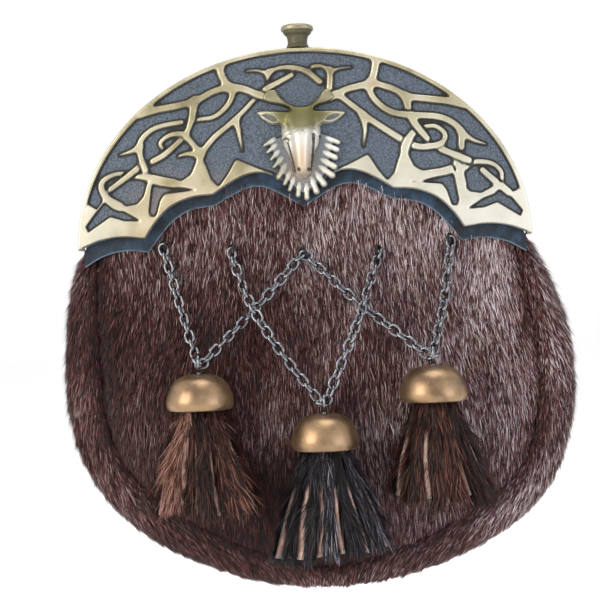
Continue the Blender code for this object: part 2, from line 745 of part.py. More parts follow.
def stag_head():
    back = CANTLE_FACE - CANTLE_CROWN - GAP
    rings = []
    for row in HEAD_ROWS:
        half = row.half * HEAD_HALF_WIDTH
        tall = row.relief * HEAD_RELIEF
        z = HEAD_FOOT + row.up * HEAD_HEIGHT
        turns = [math.pi * k / 6 for k in range(7)]
        rings.append([(half * math.cos(a), back - tall * math.sin(a) ** 0.8, z) for a in turns])
    skull = loft(rings, wrap=False)
    joined = [ear(sign, back) for sign in (-1, 1)]
    joined.append(ruff_plate(back - RELIEF))
    joined += [ruff_lock(k, back - RELIEF) for k in range(RUFF_LOCKS)]
    part("stag_head", combined(skull, joined), "cast_brass", 50)


def ear(sign, back):
    """A leaf-shaped ear that stands out sideways, thin at its tip."""
    root = HEAD_HALF_WIDTH * 0.75
    base = HEAD_FOOT + HEAD_HEIGHT * 0.74
    rings = []
    for row in EAR_ROWS:
        half = row.half * EAR_HALF_HEIGHT
        front = back - row.relief * EAR_RELIEF
        edge = (front + back) / 2
        x = sign * between(root, EAR_SPAN, row.along)
        z = base + HEAD_HEIGHT * 0.13 * row.along
        section = ((front, z), (edge, z + half), (back, z + half), (back, z - half), (edge, z - half))
        rings.append([(x, y, height) for y, height in section])
    return loft(rings, wrap=False)


def ruff_reach(turn):
    """The ruff's outer radius: longest under the chin, shorter beside the cheeks."""
    return RUFF_RADIUS * between(1.0, 0.70, smooth_step(abs(turn) / math.radians(RUFF_SWEEP / 2)))


def ruff_place(turn, reach, y):
    centre = HEAD_FOOT + 0.45 * HEAD_HEIGHT
    return Vector((reach * math.sin(turn), y, centre - reach * math.cos(turn)))


def ruff_plate(back):
    half = math.radians(RUFF_SWEEP / 2)
    turns = [between(-half, half, k / 16) for k in range(17)]
    outline = [ruff_place(t, ruff_reach(t) * 0.80, 0) for t in turns]
    return flat([[(p.x, p.z) for p in outline]], back, back - RUFF_PLATE)


def ruff_lock(index, back):
    """One tapered lock of the ruff, laid outwards from the neck."""
    half = math.radians(RUFF_SWEEP / 2)
    turn = between(-half, half, index / (RUFF_LOCKS - 1))
    reach = ruff_reach(turn)
    y = back - RUFF_PLATE * 0.9
    width = reach * math.radians(RUFF_SWEEP / (RUFF_LOCKS - 1))
    side = Vector((math.cos(turn), 0, math.sin(turn)))
    sink = Vector((0, LOCK_SINK, 0))
    rings = []
    for row in LOCK_ROWS:
        middle = ruff_place(turn, reach * row.reach, y)
        lift = Vector((0, -LOCK_RELIEF * row.relief, 0))
        spread = side * row.half * width
        rings.append([middle + spread + sink, middle + lift, middle - spread + sink])
    return loft(rings, wrap=False)


def turned(profile, steps):
    """A body turned about Z from (radius, height) points, which run down its outer side."""
    mesh = bpy.data.meshes.new("turned")
    edges = [(k, k + 1) for k in range(len(profile) - 1)]
    if profile[0][0] > 0:
        edges.append((len(profile) - 1, 0))
    mesh.from_pydata([(r, 0, h) for r, h in profile], edges, [])
    made = helper(mesh)
    screw = made.modifiers.new("turn", "SCREW")
    screw.steps = screw.render_steps = steps
    screw.use_merge_vertices = True
    screw.merge_threshold = 1e-5
    return weld(applied(made))


def knob():
    mesh = turned([(row.out * KNOB_RADIUS, row.up * KNOB_HEIGHT) for row in KNOB_ROWS], 14)
    rim_middle = (CANTLE_BACK + RIM_RETURN + CANTLE_FACE - RELIEF) / 2 - CANTLE_CROWN
    mesh.transform(Matrix.Translation((0, rim_middle, CANTLE_HEIGHT + GAP)))
    part("knob", mesh, "cast_brass")


def place_on(route, index):
    point = route[index]
    return Vector((point.x, hide_y(point.x, point.z) - point.lie, point.z))


def chain_corners(route):
    """A route's points in space. Where it turns in a ring it runs level through it, then bends away."""
    ring_turn = CHAIN_RADIUS + RING_WIRE + RING_ROOM
    corners = []
    for k, point in enumerate(route):
        place = place_on(route, k)
        if not point.ring or k in (0, len(route) - 1):
            corners.append(place)
            continue
        before = place_on(route, k - 1)
        after = place_on(route, k + 1)
        rise = math.copysign(ring_turn * 0.15, before.z - place.z)
        near = place + Vector((-ring_turn, 0, rise))
        far = place + Vector((ring_turn, 0, rise))
        corners.append(near + (before - near).normalized() * ring_turn)
        corners += [near, place, far]
        corners.append(far + (after - far).normalized() * ring_turn)
    return corners


def chain_line(route):
    """Points a few diameters apart along the smooth curve through a route's corners."""
    corners = chain_corners(route)
    fine = smooth_line(corners, CHAIN_FINE)
    line = []
    for k, (one, other) in enumerate(zip(corners, corners[1:])):
        steps = max(round((other - one).length / CHAIN_STEP), 1)
        line += [fine[k * CHAIN_FINE + round(CHAIN_FINE * j / steps)] for j in range(steps)]
    return line + [fine[-1]]


def tube(points, radius, sides):
    """A closed round tube through the points."""
    shape = bpy.data.curves.new("tube", "CURVE")
    shape.dimensions = "3D"
    shape.bevel_depth = radius
    shape.bevel_resolution = sides // 2 - 2
    shape.use_fill_caps = True
    spline = shape.splines.new("POLY")
    spline.points.add(len(points) - 1)
    for point, place in zip(spline.points, points):
        point.co = (*place, 1)
    return weld(applied(helper(shape)))


def chains():
    for name, route in (("chain_outer", OUTER_ROUTE), ("chain_inner", INNER_ROUTE)):
        part(name, tube(chain_line(route), CHAIN_RADIUS, 8), "gunmetal_steel", 60)


def ring_mesh(centre, axis, steps=10):
    """A wire ring round a chain, square to the given axis."""
    middle = CHAIN_RADIUS + RING_ROOM + RING_WIRE
    turn = axis.to_track_quat("Z", "Y").to_matrix()
    rings = []
    for k in range(steps):
        angle = 2 * math.pi * k / steps
        spoke = Vector((math.cos(angle), math.sin(angle), 0))
        ring = []
        for j in range(5):
            bend = 2 * math.pi * j / 5
            point = spoke * (middle + RING_WIRE * math.cos(bend))
            point.z = RING_WIRE * math.sin(bend)
            ring.append(centre + turn @ point)
        rings.append(ring)
    return loft(rings, wrap=True)


def cylinder(start, end, radius, sides):
    """A short straight post."""
    form = bmesh.new()
    long = (end - start).length
    bmesh.ops.create_cone(form, cap_ends=True, segments=sides, radius1=radius, radius2=radius, depth=long)
    mesh = bpy.data.meshes.new("cylinder")
    form.to_mesh(mesh)
    form.free()
    turn = (end - start).to_track_quat("Z", "Y").to_matrix().to_4x4()
    mesh.transform(Matrix.Translation((start + end) / 2) @ turn)
    return mesh


def eyelets():
    """Wire eyes on the hide that the chains hang from."""
    reach = CHAIN_RADIUS + RING_ROOM + RING_WIRE
    for name, route, index in EYELETS:
        centre = place_on(route, index)
        if 0 < index < len(route) - 1:
            axis = (place_on(route, index + 1) - place_on(route, index - 1)).normalized()
        else:
            axis = (place_on(route, index - 1 if index else 1) - centre).normalized()
            centre = centre + axis * EYE_SET
        inward = (Vector((0, 1, 0)) - axis * axis.y).normalized()
        start = centre + inward * reach
        foot = Vector((start.x, hide_y(start.x, start.z) - GAP, start.z))
        mesh = ring_mesh(centre, axis)
        if (foot - start).length > 2 * GAP:
            mesh = combined(mesh, [cylinder(start - inward * RING_WIRE * 0.3, foot, STUB_RADIUS, 6)])
        part("eyelet_" + name, mesh, "gunmetal_steel", 60)


def dome_profile():
    outer = [(DOME_HOLE, DOME_HEIGHT)] + [(row.out * DOME_RADIUS, row.up * DOME_HEIGHT) for row in DOME_ROWS]
    inner = []
    for radius, height in outer:
        drop = DOME_WALL * smooth_step((height / DOME_HEIGHT - 0.3) / 0.5)
        inner.append((max(radius - DOME_WALL, DOME_HOLE), height - drop))
    return outer + inner[::-1]


def tassel_mesh(tassel, top):
    """A skirt of strips that hang side by side, fused to a head that sits inside the dome."""
    count = TASSEL_STRIPS * 3
    rings = []
    for row in TASSEL_ROWS:
        wide = between(TASSEL_HEAD_RADIUS, tassel.half_width, row.spread)
        deep = between(TASSEL_HEAD_RADIUS, TASSEL_DEPTH, row.spread)
        ring = []
        for k in range(count):
            angle = 2 * math.pi * k / count
            between_strips = k % 3 == 0
            swell = 0 if between_strips else row.ridge * STRIP_RIDGE
            x = (wide + swell) * math.cos(angle) + tassel.sway * row.down**2
            y = (deep + swell) * math.sin(angle)
            z = -row.down * tassel.length
            if row.down == 1:
                z += CUT_UNEVEN * (math.sin(5 * angle) + 0.7 * math.sin(3 * angle + 1))
                z += STRIP_CUT if between_strips else 0
            ring.append(top + Vector((x, y, z)))
        rings.append(ring)
    return loft(rings, wrap=False)


def tassels():
    ring_reach = CHAIN_RADIUS + RING_ROOM + 2 * RING_WIRE
    for tassel in TASSELS:
        hang = place_on(tassel.route, tassel.point)
        dome_top = hang.z - ring_reach - GAP
        base = Vector((hang.x, hang.y, dome_top - DOME_HEIGHT))
        dome = turned(dome_profile(), 14)
        dome.transform(Matrix.Translation(base))
        part("dome_" + tassel.name, dome, "aged_brass")
        roof = Vector((hang.x, hang.y, dome_top - DOME_WALL - GAP))
        washer_foot = roof - Vector((0, 0, WASHER_THICKNESS))
        ring = ring_mesh(hang, Vector((1, 0, 0)))
        post_top = hang - Vector((0, 0, ring_reach - RING_WIRE))
        post = cylinder(post_top, (roof + washer_foot) / 2, STUB_RADIUS, 6)
        washer = cylinder(roof, washer_foot, SHANK_WASHER, 10)
        part("bail_" + tassel.name, combined(ring, [post, washer]), "gunmetal_steel", 60)
        top = washer_foot - Vector((0, 0, GAP))
        hair = "black_hair" if tassel.name == "middle" else "chestnut_hair"
        part("tassel_" + tassel.name, tassel_mesh(tassel, top), hair, 60)


HIDE_FACE = face_of(front_panel())
gusset()
top_band()
back_panel()
back_flap()
belt_loops()
leather_trim()
cantle_plate()
stag_head()
knob()
chains()
eyelets()
tassels()
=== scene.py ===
# %% [markdown]
# A dress sporran is a fur pouch worn at the front of a kilt. A cast plate, the cantle, closes its top, and
# three tassels hang from chains over the fur. The CAD model holds every size, and this script gives it its
# looks: the relief of the casting, the links of the chains, and some two hundred thousand hairs.

# %% Load the frame
import math
from collections import namedtuple

import bmesh
import bpy
import numpy as np
from mathutils import Matrix, Vector
from mathutils.bvhtree import BVHTree


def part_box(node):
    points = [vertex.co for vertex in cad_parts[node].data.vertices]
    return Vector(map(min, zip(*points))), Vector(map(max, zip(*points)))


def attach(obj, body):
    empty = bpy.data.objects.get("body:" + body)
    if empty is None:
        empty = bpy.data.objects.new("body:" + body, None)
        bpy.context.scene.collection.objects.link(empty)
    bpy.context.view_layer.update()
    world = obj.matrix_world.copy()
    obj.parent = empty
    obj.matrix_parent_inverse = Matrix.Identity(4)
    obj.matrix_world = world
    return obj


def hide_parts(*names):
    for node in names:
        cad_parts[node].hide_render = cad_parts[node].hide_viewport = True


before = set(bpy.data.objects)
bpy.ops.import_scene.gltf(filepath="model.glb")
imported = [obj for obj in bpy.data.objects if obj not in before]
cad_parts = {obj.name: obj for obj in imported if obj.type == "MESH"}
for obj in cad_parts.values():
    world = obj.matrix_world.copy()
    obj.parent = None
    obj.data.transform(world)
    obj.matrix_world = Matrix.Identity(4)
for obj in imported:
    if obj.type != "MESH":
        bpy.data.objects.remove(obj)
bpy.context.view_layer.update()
MM = 0.001


# %% [markdown]
# Every material and every Geometry Nodes tree below is a graph of nodes. One helper adds a node, sets its
# settings and fills its sockets with a value or another node's output, so a graph reads top to bottom.

# %% Helpers for nodes and colours
def linear(code):
    """An sRGB hex colour as the linear colour that a shader takes."""
    channels = [int(code[k : k + 2], 16) / 255 for k in (1, 3, 5)]
    return (*(c / 12.92 if c <= 0.04045 else ((c + 0.055) / 1.055) ** 2.4 for c in channels), 1.0)


def add(tree, kind, inputs=None, stops=(), **settings):
    """A new node. Inputs take a value or another node's output, and stops are a colour ramp's."""
    node = tree.nodes.new(kind)
    for name, value in settings.items():
        setattr(node, name, value)
    for key, value in (inputs or {}).items():
        if isinstance(value, bpy.types.NodeSocket):
            tree.links.new(value, node.inputs[key])
        else:
            node.inputs[key].default_value = value
    if stops:
        ramp = node.color_ramp.elements
        while len(ramp) < len(stops):
            ramp.new(1)
        for element, (place, code) in zip(ramp, stops):
            element.position = place
            element.color = linear(code)
    return node


def finish(name, **values):
    """A material with its Principled BSDF, whose sockets are given with _ for a space."""
    made = bpy.data.materials.new(name)
    made.use_nodes = True
    shader = made.node_tree.nodes["Principled BSDF"]
    for socket, value in values.items():
        shader.inputs[socket.replace("_", " ")].default_value = value
    return made, made.node_tree, shader


# %% [markdown]
# A piece is a mesh object at the origin, with its place in its mesh. It rides on the model's one body and may
# stand for the plain CAD solid of the same part.

# %% Helpers for pieces
def new_object(name, mesh, material, smooth=True):
    made = bpy.data.objects.new(name, mesh)
    bpy.context.scene.collection.objects.link(made)
    mesh.materials.clear()
    mesh.materials.append(material)
    if smooth:
        mesh.shade_smooth()
    return made


def from_arrays(name, points, faces, material, **attributes):
    """An object from lists of points and faces, with a number per point for each attribute."""
    mesh = bpy.data.meshes.new(name)
    mesh.from_pydata(np.asarray(points, float).tolist(), [], [list(map(int, face)) for face in faces])
    for attribute, values in attributes.items():
        layer = mesh.attributes.new(attribute, "FLOAT", "POINT")
        layer.data.foreach_set("value", np.asarray(values, np.float32).ravel())
    return new_object(name, mesh, material)


def dress(made, slot, *nodes):
    """Rides a finished piece on the body, in place of CAD nodes if any are named."""
    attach(made, "root")
    if nodes:
        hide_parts(*nodes)
    print(f"{made.name}: {len(made.data.polygons)} faces")
    return made


# %% Helpers that run modifiers
def evaluated(made, name):
    """A plain mesh of what an object's modifiers make. The object goes."""
    bpy.context.view_layer.update()
    graph = bpy.context.evaluated_depsgraph_get()
    mesh = bpy.data.meshes.new_from_object(made.evaluated_get(graph))
    mesh.name = name
    bpy.data.objects.remove(made, do_unlink=True)
    return mesh


def grown(base, tree, name, **values):
    """Runs a Geometry Nodes tree on an object, with its named inputs, and gives the plain mesh."""
    modifier = base.modifiers.new("grow", "NODES")
    modifier.node_group = tree
    for item in tree.interface.items_tree:
        key = item.name.replace(" ", "_").lower()
        if item.in_out == "INPUT" and key in values:
            modifier[item.identifier] = values[key]
    return evaluated(base, name)


def surface_of(node, levels):
    """A copy of a CAD node as quads, rounded by Subdivision Surface."""
    form = bmesh.new()
    form.from_mesh(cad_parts[node].data)
    bmesh.ops.remove_doubles(form, verts=form.verts, dist=0.01 * MM)
    bmesh.ops.join_triangles(
        form, faces=form.faces, angle_face_threshold=0.6, angle_shape_threshold=1.2, cmp_seam=False
    )
    mesh = bpy.data.meshes.new(node)
    form.to_mesh(mesh)
    form.free()
    made = bpy.data.objects.new(node + "_form", mesh)
    bpy.context.scene.collection.objects.link(made)
    rounding = made.modifiers.new("round", "SUBSURF")
    rounding.levels = rounding.render_levels = levels
    return evaluated(made, node + "_form")


# %% Smooth lines and steps
def smooth_line(points, steps):
    """Points along a Catmull-Rom curve through the given points, in that many steps from one to the next."""
    points = np.asarray(points, float)
    ends = np.vstack([2 * points[0] - points[1], points, 2 * points[-1] - points[-2]])
    share = np.linspace(0, 1, steps, endpoint=False)[:, None]
    line = []
    for before, start, end, after in zip(ends, ends[1:], ends[2:], ends[3:]):
        straight = 2 * start + (end - before) * share
        bend = (2 * before - 5 * start + 4 * end - after) * share**2
        line.append((straight + bend + (3 * start - before - 3 * end + after) * share**3) / 2)
    return np.vstack(line + [points[-1:]])


def smooth_step(share):
    share = np.clip(share, 0, 1)
    return share * share * (3 - 2 * share)


# %% [markdown]
# The photograph is a straight front view with the sporran turned a little in the picture, so the camera rolls
# and the object stays upright. A long lens from 0.6 m gives the same slight perspective.

# %% Camera
CAMERA_CENTRE = Vector((-3.0, -31.0, -23.3)) * MM
CAMERA_DISTANCE = 600 * MM
FRAME_WIDTH = 240 * MM
CAMERA_ROLL = math.radians(2.2)
SENSOR = 36

camera_data = bpy.data.cameras.new("camera")
camera_data.sensor_width = SENSOR
camera_data.lens = SENSOR * CAMERA_DISTANCE / FRAME_WIDTH
camera = bpy.data.objects.new("camera", camera_data)
bpy.context.scene.collection.objects.link(camera)
place = Matrix.Translation(CAMERA_CENTRE - Vector((0, CAMERA_DISTANCE, 0)))
camera.matrix_world = place @ Matrix.Rotation(CAMERA_ROLL, 4, "Y") @ Matrix.Rotation(math.pi / 2, 4, "X")
bpy.context.scene.camera = camera
print("lens in mm:", round(camera_data.lens, 1))

# %% [markdown]
# Soft studio light: a wide panel in front and a little below, which the brass and the domes mirror, a weaker
# one above, and a pale world. The floor lies well below the hanging sporran.

# %% Light and floor
Panel = namedtuple("Panel", "name place size power colour")
PANELS = (
    Panel("key", (-1.05, -0.85, 0.40), 0.80, 14.0, "#fff6ec"),
    Panel("fill", (1.00, -0.90, 0.10), 0.80, 6.0, "#f0f4ff"),
    Panel("low", (0.05, -0.90, -0.75), 0.60, 1.2, "#ffffff"),
    Panel("top", (0.10, -0.15, 1.10), 0.70, 6.0, "#ffffff"),
    Panel("back", (0.30, 1.20, 0.50), 0.90, 8.0, "#ffffff"),
)
FLOOR_LEVEL = -240 * MM
FLOOR_HALF = 6.0
AIM = Vector((0, -20, -30)) * MM

for panel in PANELS:
    light = bpy.data.lights.new(panel.name, "AREA")
    light.size = panel.size
    light.energy = panel.power
    light.color = linear(panel.colour)[:3]
    lamp = bpy.data.objects.new(panel.name, light)
    lamp.location = panel.place
    lamp.rotation_euler = (AIM - Vector(panel.place)).to_track_quat("-Z", "Y").to_euler()
    bpy.context.scene.collection.objects.link(lamp)

bpy.context.scene.view_settings.view_transform = "Standard"
world = bpy.data.worlds.new("studio")
world.use_nodes = True
world.node_tree.nodes["Background"].inputs["Color"].default_value = linear("#ffffff")
world.node_tree.nodes["Background"].inputs["Strength"].default_value = 1.0
bpy.context.scene.world = world

floor_finish, floor_tree, floor_shader = finish("matt_paper", Roughness=0.9)
grain = add(floor_tree, "ShaderNodeTexNoise", {"Scale": 90.0})
tone = add(
    floor_tree, "ShaderNodeValToRGB", {"Fac": grain.outputs["Fac"]},
    stops=((0.4, "#fdfdfd"), (0.6, "#ffffff"))
)
floor_tree.links.new(tone.outputs["Color"], floor_shader.inputs["Base Color"])
corners = [(x * FLOOR_HALF, y * FLOOR_HALF, FLOOR_LEVEL) for x, y in ((-1, -1), (1, -1), (1, 1), (-1, 1))]
floor = from_arrays("floor", corners, [(0, 1, 2, 3)], floor_finish)
print("panels:", len(PANELS))

# %% [markdown]
# The cantle is cast brass, antiqued: it was blackened and then rubbed, so the raised work is pale and worn,
# with pinkish patches, and the sunk ground keeps a blue-grey skin. The dark outlines along its steps are
# partly patina and partly painted shade. A painted highlight whitens the brass where it mirrored bright
# light, and an olive tone, partly painted shade, lies on the stag's brow and the knob's neck. One material
# serves plate, head and knob. It reads how high a point stands and how near it is to a step from the mesh
# itself.

# %% Antiqued cast brass
BRASS_PATCH = 14 * MM
PEBBLE = 0.9 * MM

cast_brass, tree, shader = finish("antiqued_cast_brass", Specular_IOR_Level=0.5)
coords = add(tree, "ShaderNodeTexCoord").outputs["Object"]
raised = add(tree, "ShaderNodeAttribute", attribute_name="raised").outputs["Fac"]
# outline: dark lines along the steps, partly patina, partly painted shade
outline = add(tree, "ShaderNodeAttribute", attribute_name="outline").outputs["Fac"]
patches = add(tree, "ShaderNodeTexNoise", {"Vector": coords, "Scale": 1 / BRASS_PATCH, "Detail": 3.0})
worn = add(
    tree,
    "ShaderNodeValToRGB",
    {"Fac": patches.outputs["Fac"]},
    stops=((0.28, "#7c7459"), (0.42, "#9f977a"), (0.55, "#b3ac92"), (0.66, "#bcb6a0"), (0.78, "#b49878")),
)
speckle = add(tree, "ShaderNodeTexNoise", {"Vector": coords, "Scale": 1 / (0.7 * MM), "Detail": 2.0})
ground = add(
    tree,
    "ShaderNodeValToRGB",
    {"Fac": speckle.outputs["Fac"]},
    stops=((0.34, "#343b44"), (0.50, "#454f5a"), (0.68, "#57626f")),
)

# %% Painted highlight, olive tone with painted shade, and dark lines of patina and painted shade
# pale is a painted highlight: it whitens the brass where it mirrored bright light, and dulls its metal
pale = add(tree, "ShaderNodeAttribute", attribute_name="pale").outputs["Fac"]
painted_highlight_mix = add(
    tree,
    "ShaderNodeMix",
    {"Factor": pale, "A": worn.outputs["Color"], "B": linear("#c9cac5")},
    data_type="RGBA",
)
body = add(
    tree,
    "ShaderNodeMix",
    {"Factor": raised, "A": ground.outputs["Color"], "B": painted_highlight_mix.outputs["Result"]},
    data_type="RGBA",
)
# Olive tone, partly painted shade: on the stag's upward-facing brow and crown, and the knob's neck under its
# cap
olive = add(tree, "ShaderNodeAttribute", attribute_name="olive").outputs["Fac"]
tinted = add(
    tree,
    "ShaderNodeMix",
    {"Factor": olive, "A": body.outputs["Result"], "B": linear("#64603f")},
    data_type="RGBA",
)
blush = add(tree, "ShaderNodeAttribute", attribute_name="blush").outputs["Fac"]
flushed = add(
    tree,
    "ShaderNodeMix",
    {"Factor": blush, "A": tinted.outputs["Result"], "B": linear("#bb9878")},
    data_type="RGBA",
)
# The dark lines: patina and painted shade
lined = add(
    tree,
    "ShaderNodeMix",
    {"Factor": outline, "A": flushed.outputs["Result"], "B": linear("#1b1a17")},
    data_type="RGBA",
)
tree.links.new(lined.outputs["Result"], shader.inputs["Base Color"])
rough = add(tree, "ShaderNodeMapRange", {"Value": raised, "To Min": 0.62, "To Max": 0.40})
tree.links.new(rough.outputs["Result"], shader.inputs["Roughness"])
metal = add(tree, "ShaderNodeMapRange", {"Value": raised, "To Min": 0.30, "To Max": 0.85})
dulled = add(tree, "ShaderNodeMapRange", {"Value": pale, "To Min": 1.0, "To Max": 0.25})
shine = add(
    tree, "ShaderNodeMath", {0: metal.outputs["Result"], 1: dulled.outputs["Result"]}, operation="MULTIPLY"
)
tree.links.new(shine.outputs["Value"], shader.inputs["Metallic"])
pebbles = add(tree, "ShaderNodeTexVoronoi", {"Vector": coords, "Scale": 1 / PEBBLE})
pebble_depth = add(tree, "ShaderNodeMapRange", {"Value": raised, "To Min": 0.9, "To Max": 0.06})
pebbled = add(
    tree,
    "ShaderNodeBump",
    {"Strength": pebble_depth.outputs["Result"], "Distance": 0.3 * MM, "Height": pebbles.outputs["Distance"]},
    invert=True,
)
tree.links.new(pebbled.outputs["Normal"], shader.inputs["Normal"])
print("made", cast_brass.name)

# %% [markdown]
# The relief of the plate could be modelled strap by strap. A height field does it in one go: for each point
# of a fine grid, work out how far it lies from the nearest strap, rim or border, and turn that distance into
# a height with a rounded shoulder. Joining distances smoothly gives the soft webs where straps branch, and a
# strap that passes under another is cut back along it.

# %% The plate's outline and ornament, charted from the casting
PLATE_LOW, PLATE_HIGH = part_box("cantle_plate")
HALF_WIDTH = PLATE_HIGH.x
HEIGHT = PLATE_HIGH.z
CROWN = 5.0 * MM
RELIEF = 1.3 * MM
RIM_WIDTH = 1.9 * MM
RIM_WALL = 1.6 * MM
STRAP_WIDTH = 2.7 * MM
THICKNESS = 2.2 * MM
GROUND_Y = PLATE_LOW.y + RELIEF + CROWN

EdgeRow = namedtuple("EdgeRow", "across up cusp")
CANTLE_EDGE = (
    EdgeRow(1.000, 0.000, True),
    EdgeRow(0.900, 0.045, False),
    EdgeRow(0.800, 0.060, False),
    EdgeRow(0.700, 0.047, True),
    EdgeRow(0.655, 0.125, False),
    EdgeRow(0.585, 0.205, False),
    EdgeRow(0.490, 0.250, False),
    EdgeRow(0.395, 0.260, True),
    EdgeRow(0.325, 0.312, False),
    EdgeRow(0.255, 0.352, False),
    EdgeRow(0.185, 0.364, False),
    EdgeRow(0.115, 0.335, False),
    EdgeRow(0.000, 0.235, True),
)
TRIM_EDGE = (
    EdgeRow(0.978, -0.090, True),
    EdgeRow(0.890, -0.035, False),
    EdgeRow(0.790, -0.012, False),
    EdgeRow(0.690, -0.024, True),
    EdgeRow(0.640, 0.052, False),
    EdgeRow(0.580, 0.130, False),
    EdgeRow(0.500, 0.186, False),
    EdgeRow(0.390, 0.205, True),
    EdgeRow(0.325, 0.246, False),
    EdgeRow(0.255, 0.285, False),
    EdgeRow(0.185, 0.294, False),
    EdgeRow(0.115, 0.262, False),
    EdgeRow(0.000, 0.180, True),
)
BORDER_TOP = (
    (12, 35.5), (20, 39), (29, 44), (33, 36), (37, 30), (40, 34), (42, 41), (45, 49), (47, 42), (49, 37),
    (53, 34), (60, 34.5), (67, 38), (68.5, 33), (70, 27), (73, 23), (78, 22), (83, 25), (87, 27), (91, 21),
    (95, 24), (99, 14),
)
CORNER_SLOT = (
    (95, 9.5), (96, 12), (92, 18), (87, 25), (84, 21), (79, 19), (72, 14), (79, 14.5), (85, 17), (89, 14),
)
HOOK_SLOT = (
    (67, 16), (68, 18), (66, 33), (63, 31.5), (53, 30), (47, 28.8), (61, 27.5), (63, 24), (65, 16),
)

# %% The straps of the knotwork
Strap = namedtuple("Strap", "name points start end under")
STRAPS = (
    Strap("stem_l", ((-34, 94), (-34, 88), (-31, 81)), 1.2, 1.2, ()),
    Strap("beam_l", ((-31, 81), (-25, 80), (-19, 77), (-14, 74.5), (-9, 73)), 1.2, 1.0, ()),
    Strap("limb_l", ((-31, 81), (-38, 79), (-45, 75), (-54, 72.5), (-63, 71), (-70, 69)), 1.0, 1.2, ()),
    Strap("spur_l", ((-46, 75), (-47, 69), (-48, 64), (-50, 58)), 1.4, 0.8, ()),
    Strap("bow_l", ((-29, 80), (-30, 75), (-33, 70), (-38, 66), (-45, 65)), 1.0, 0.7, ("spur_l",)),
    Strap("arc_l", ((-52, 64), (-59, 63), (-65, 61), (-70, 56), (-71, 50), (-70, 44), (-67.4, 36)), 0.8, 1.0,
          ("spur_l", "foot_l")),
    Strap("tine_l", ((-71, 52), (-75, 50), (-80, 48.5)), 1.0, 0.4, ()),
    Strap("loop_l", ((-44.6, 48), (-51, 57), (-56, 58), (-60, 56), (-62, 53), (-60, 50)), 1.0, 0.6,
          ("bar_l",)),
    Strap("hook_l", ((-44.2, 46.6), (-50, 47.6), (-54, 46.5)), 1.0, 0.5, ("bar_l",)),
    Strap("cross_l", ((-44, 47.3), (-38.5, 55), (-32, 61), (-26, 67), (-20, 74)), 1.0, 0.75, ("beam_l",)),
    Strap("twig_l", ((-28, 63), (-27, 56), (-26, 48)), 1.0, 0.4, ()),
    Strap("bar_l", ((-53, 54.5), (-57, 50.5), (-61, 47), (-65.5, 44.5)), 0.9, 1.0, ("arc_l",)),
    Strap("low_l", ((-72, 41.5), (-77, 37), (-84.5, 31)), 1.0, 0.9, ("arc_l",)),
    Strap("foot_l", ((-74, 37), (-67, 36), (-57, 33)), 0.7, 1.3, ("low_l",)),
    Strap("coil_l", ((-75, 37.5), (-79, 39), (-84, 38), (-88, 35), (-88.5, 31), (-86, 26), (-81, 22)),
          0.6, 1.3, ("low_l",)),
    Strap("stem_r", ((34, 93), (33, 86), (31, 80)), 1.2, 1.2, ()),
    Strap("beam_r", ((31, 80), (26, 79), (19, 77), (13, 73)), 1.2, 0.9, ()),
    Strap("limb_r", ((31, 81), (41, 77), (47, 73), (55, 71.5), (64, 70), (71, 68)), 1.0, 1.2, ()),
    Strap("spur_r", ((46, 73), (47, 69), (47, 66)), 1.3, 1.1, ("arc_r",)),
    Strap("bar_r", ((49, 60.5), (51, 57), (55, 51)), 1.2, 1.0, ()),
    Strap("arc_r", ((30, 79), (32, 73), (37, 67), (43, 64), (51, 63), (60, 62), (66, 59), (70, 54), (70, 46)),
          1.0, 1.1, ()),
    Strap("tine_r", ((70, 54), (75, 49.5), (81, 47)), 1.0, 0.4, ()),
    Strap("loop_r", ((54, 57), (59, 57), (63, 53), (62, 49), (58, 47), (53, 46.5), (48.5, 47.5)), 0.7, 1.1,
          ("bar_r", "root_r")),
    Strap("root_r", ((50, 55.5), (47, 51), (45, 46)), 1.1, 1.3, ("bar_r",)),
    Strap("cross_r", ((10, 73), (16, 75), (23, 69), (29, 63), (36, 57), (43.5, 51)), 0.9, 1.1, ("root_r",)),
    Strap("twig_r", ((27, 64), (28, 57), (27, 48)), 1.1, 0.4, ()),
    Strap("low_r", ((61, 45), (66, 42.5), (73, 39)), 1.1, 1.1, ("loop_r",)),
    Strap("coil_r", ((71, 35), (76, 38), (83, 37), (87, 33), (87.5, 29)), 0.9, 0.7, ("low_r",)),
    Strap("tail_r", ((79, 33.5), (84, 28), (90, 22)), 1.0, 1.2, ("coil_r",)),
    Strap("post_r", ((68, 38.5), (69, 33), (70, 27)), 1.1, 1.2, ("low_r",)),
    Strap("foot_r", ((66, 34.5), (57, 33), (51, 31)), 0.8, 1.3, ("post_r",)),
    Strap("crest_l", ((9, 82), (4, 87), (-1, 89.5), (-7, 90), (-11, 89), (-14, 87.5), (-18, 89), (-23, 89)),
          1.0, 0.4, ()),
    Strap("crest_spur", ((-13, 88), (-14, 84)), 1.0, 0.5, ("link_l",)),
    Strap("link_l", ((-15, 79), (-9, 82.5), (-3, 86)), 1.0, 0.8, ("crest_l", "beam_l")),
    Strap("crest_r", ((6, 90), (10, 90), (14, 87.5), (18, 88.5), (23, 89)), 0.7, 0.4, ()),
    Strap("crest_post", ((13.5, 88), (13.5, 83), (13, 77.5)), 1.0, 1.0, ("cross_r",)),
)
print("straps:", len(STRAPS))


# %% Distances to lines and outlines
def line_distance(x, z, line, radii):
    """How far each point lies outside a line of varying half width. It is negative inside."""
    best = np.full(x.shape, 1.0)
    for (x0, z0), (x1, z1), r0, r1 in zip(line, line[1:], radii, radii[1:]):
        dx, dz = x1 - x0, z1 - z0
        share = np.clip(((x - x0) * dx + (z - z0) * dz) / (dx * dx + dz * dz + 1e-15), 0, 1)
        away = np.hypot(x - x0 - share * dx, z - z0 - share * dz) - (r0 + (r1 - r0) * share)
        best = np.minimum(best, away)
    return best


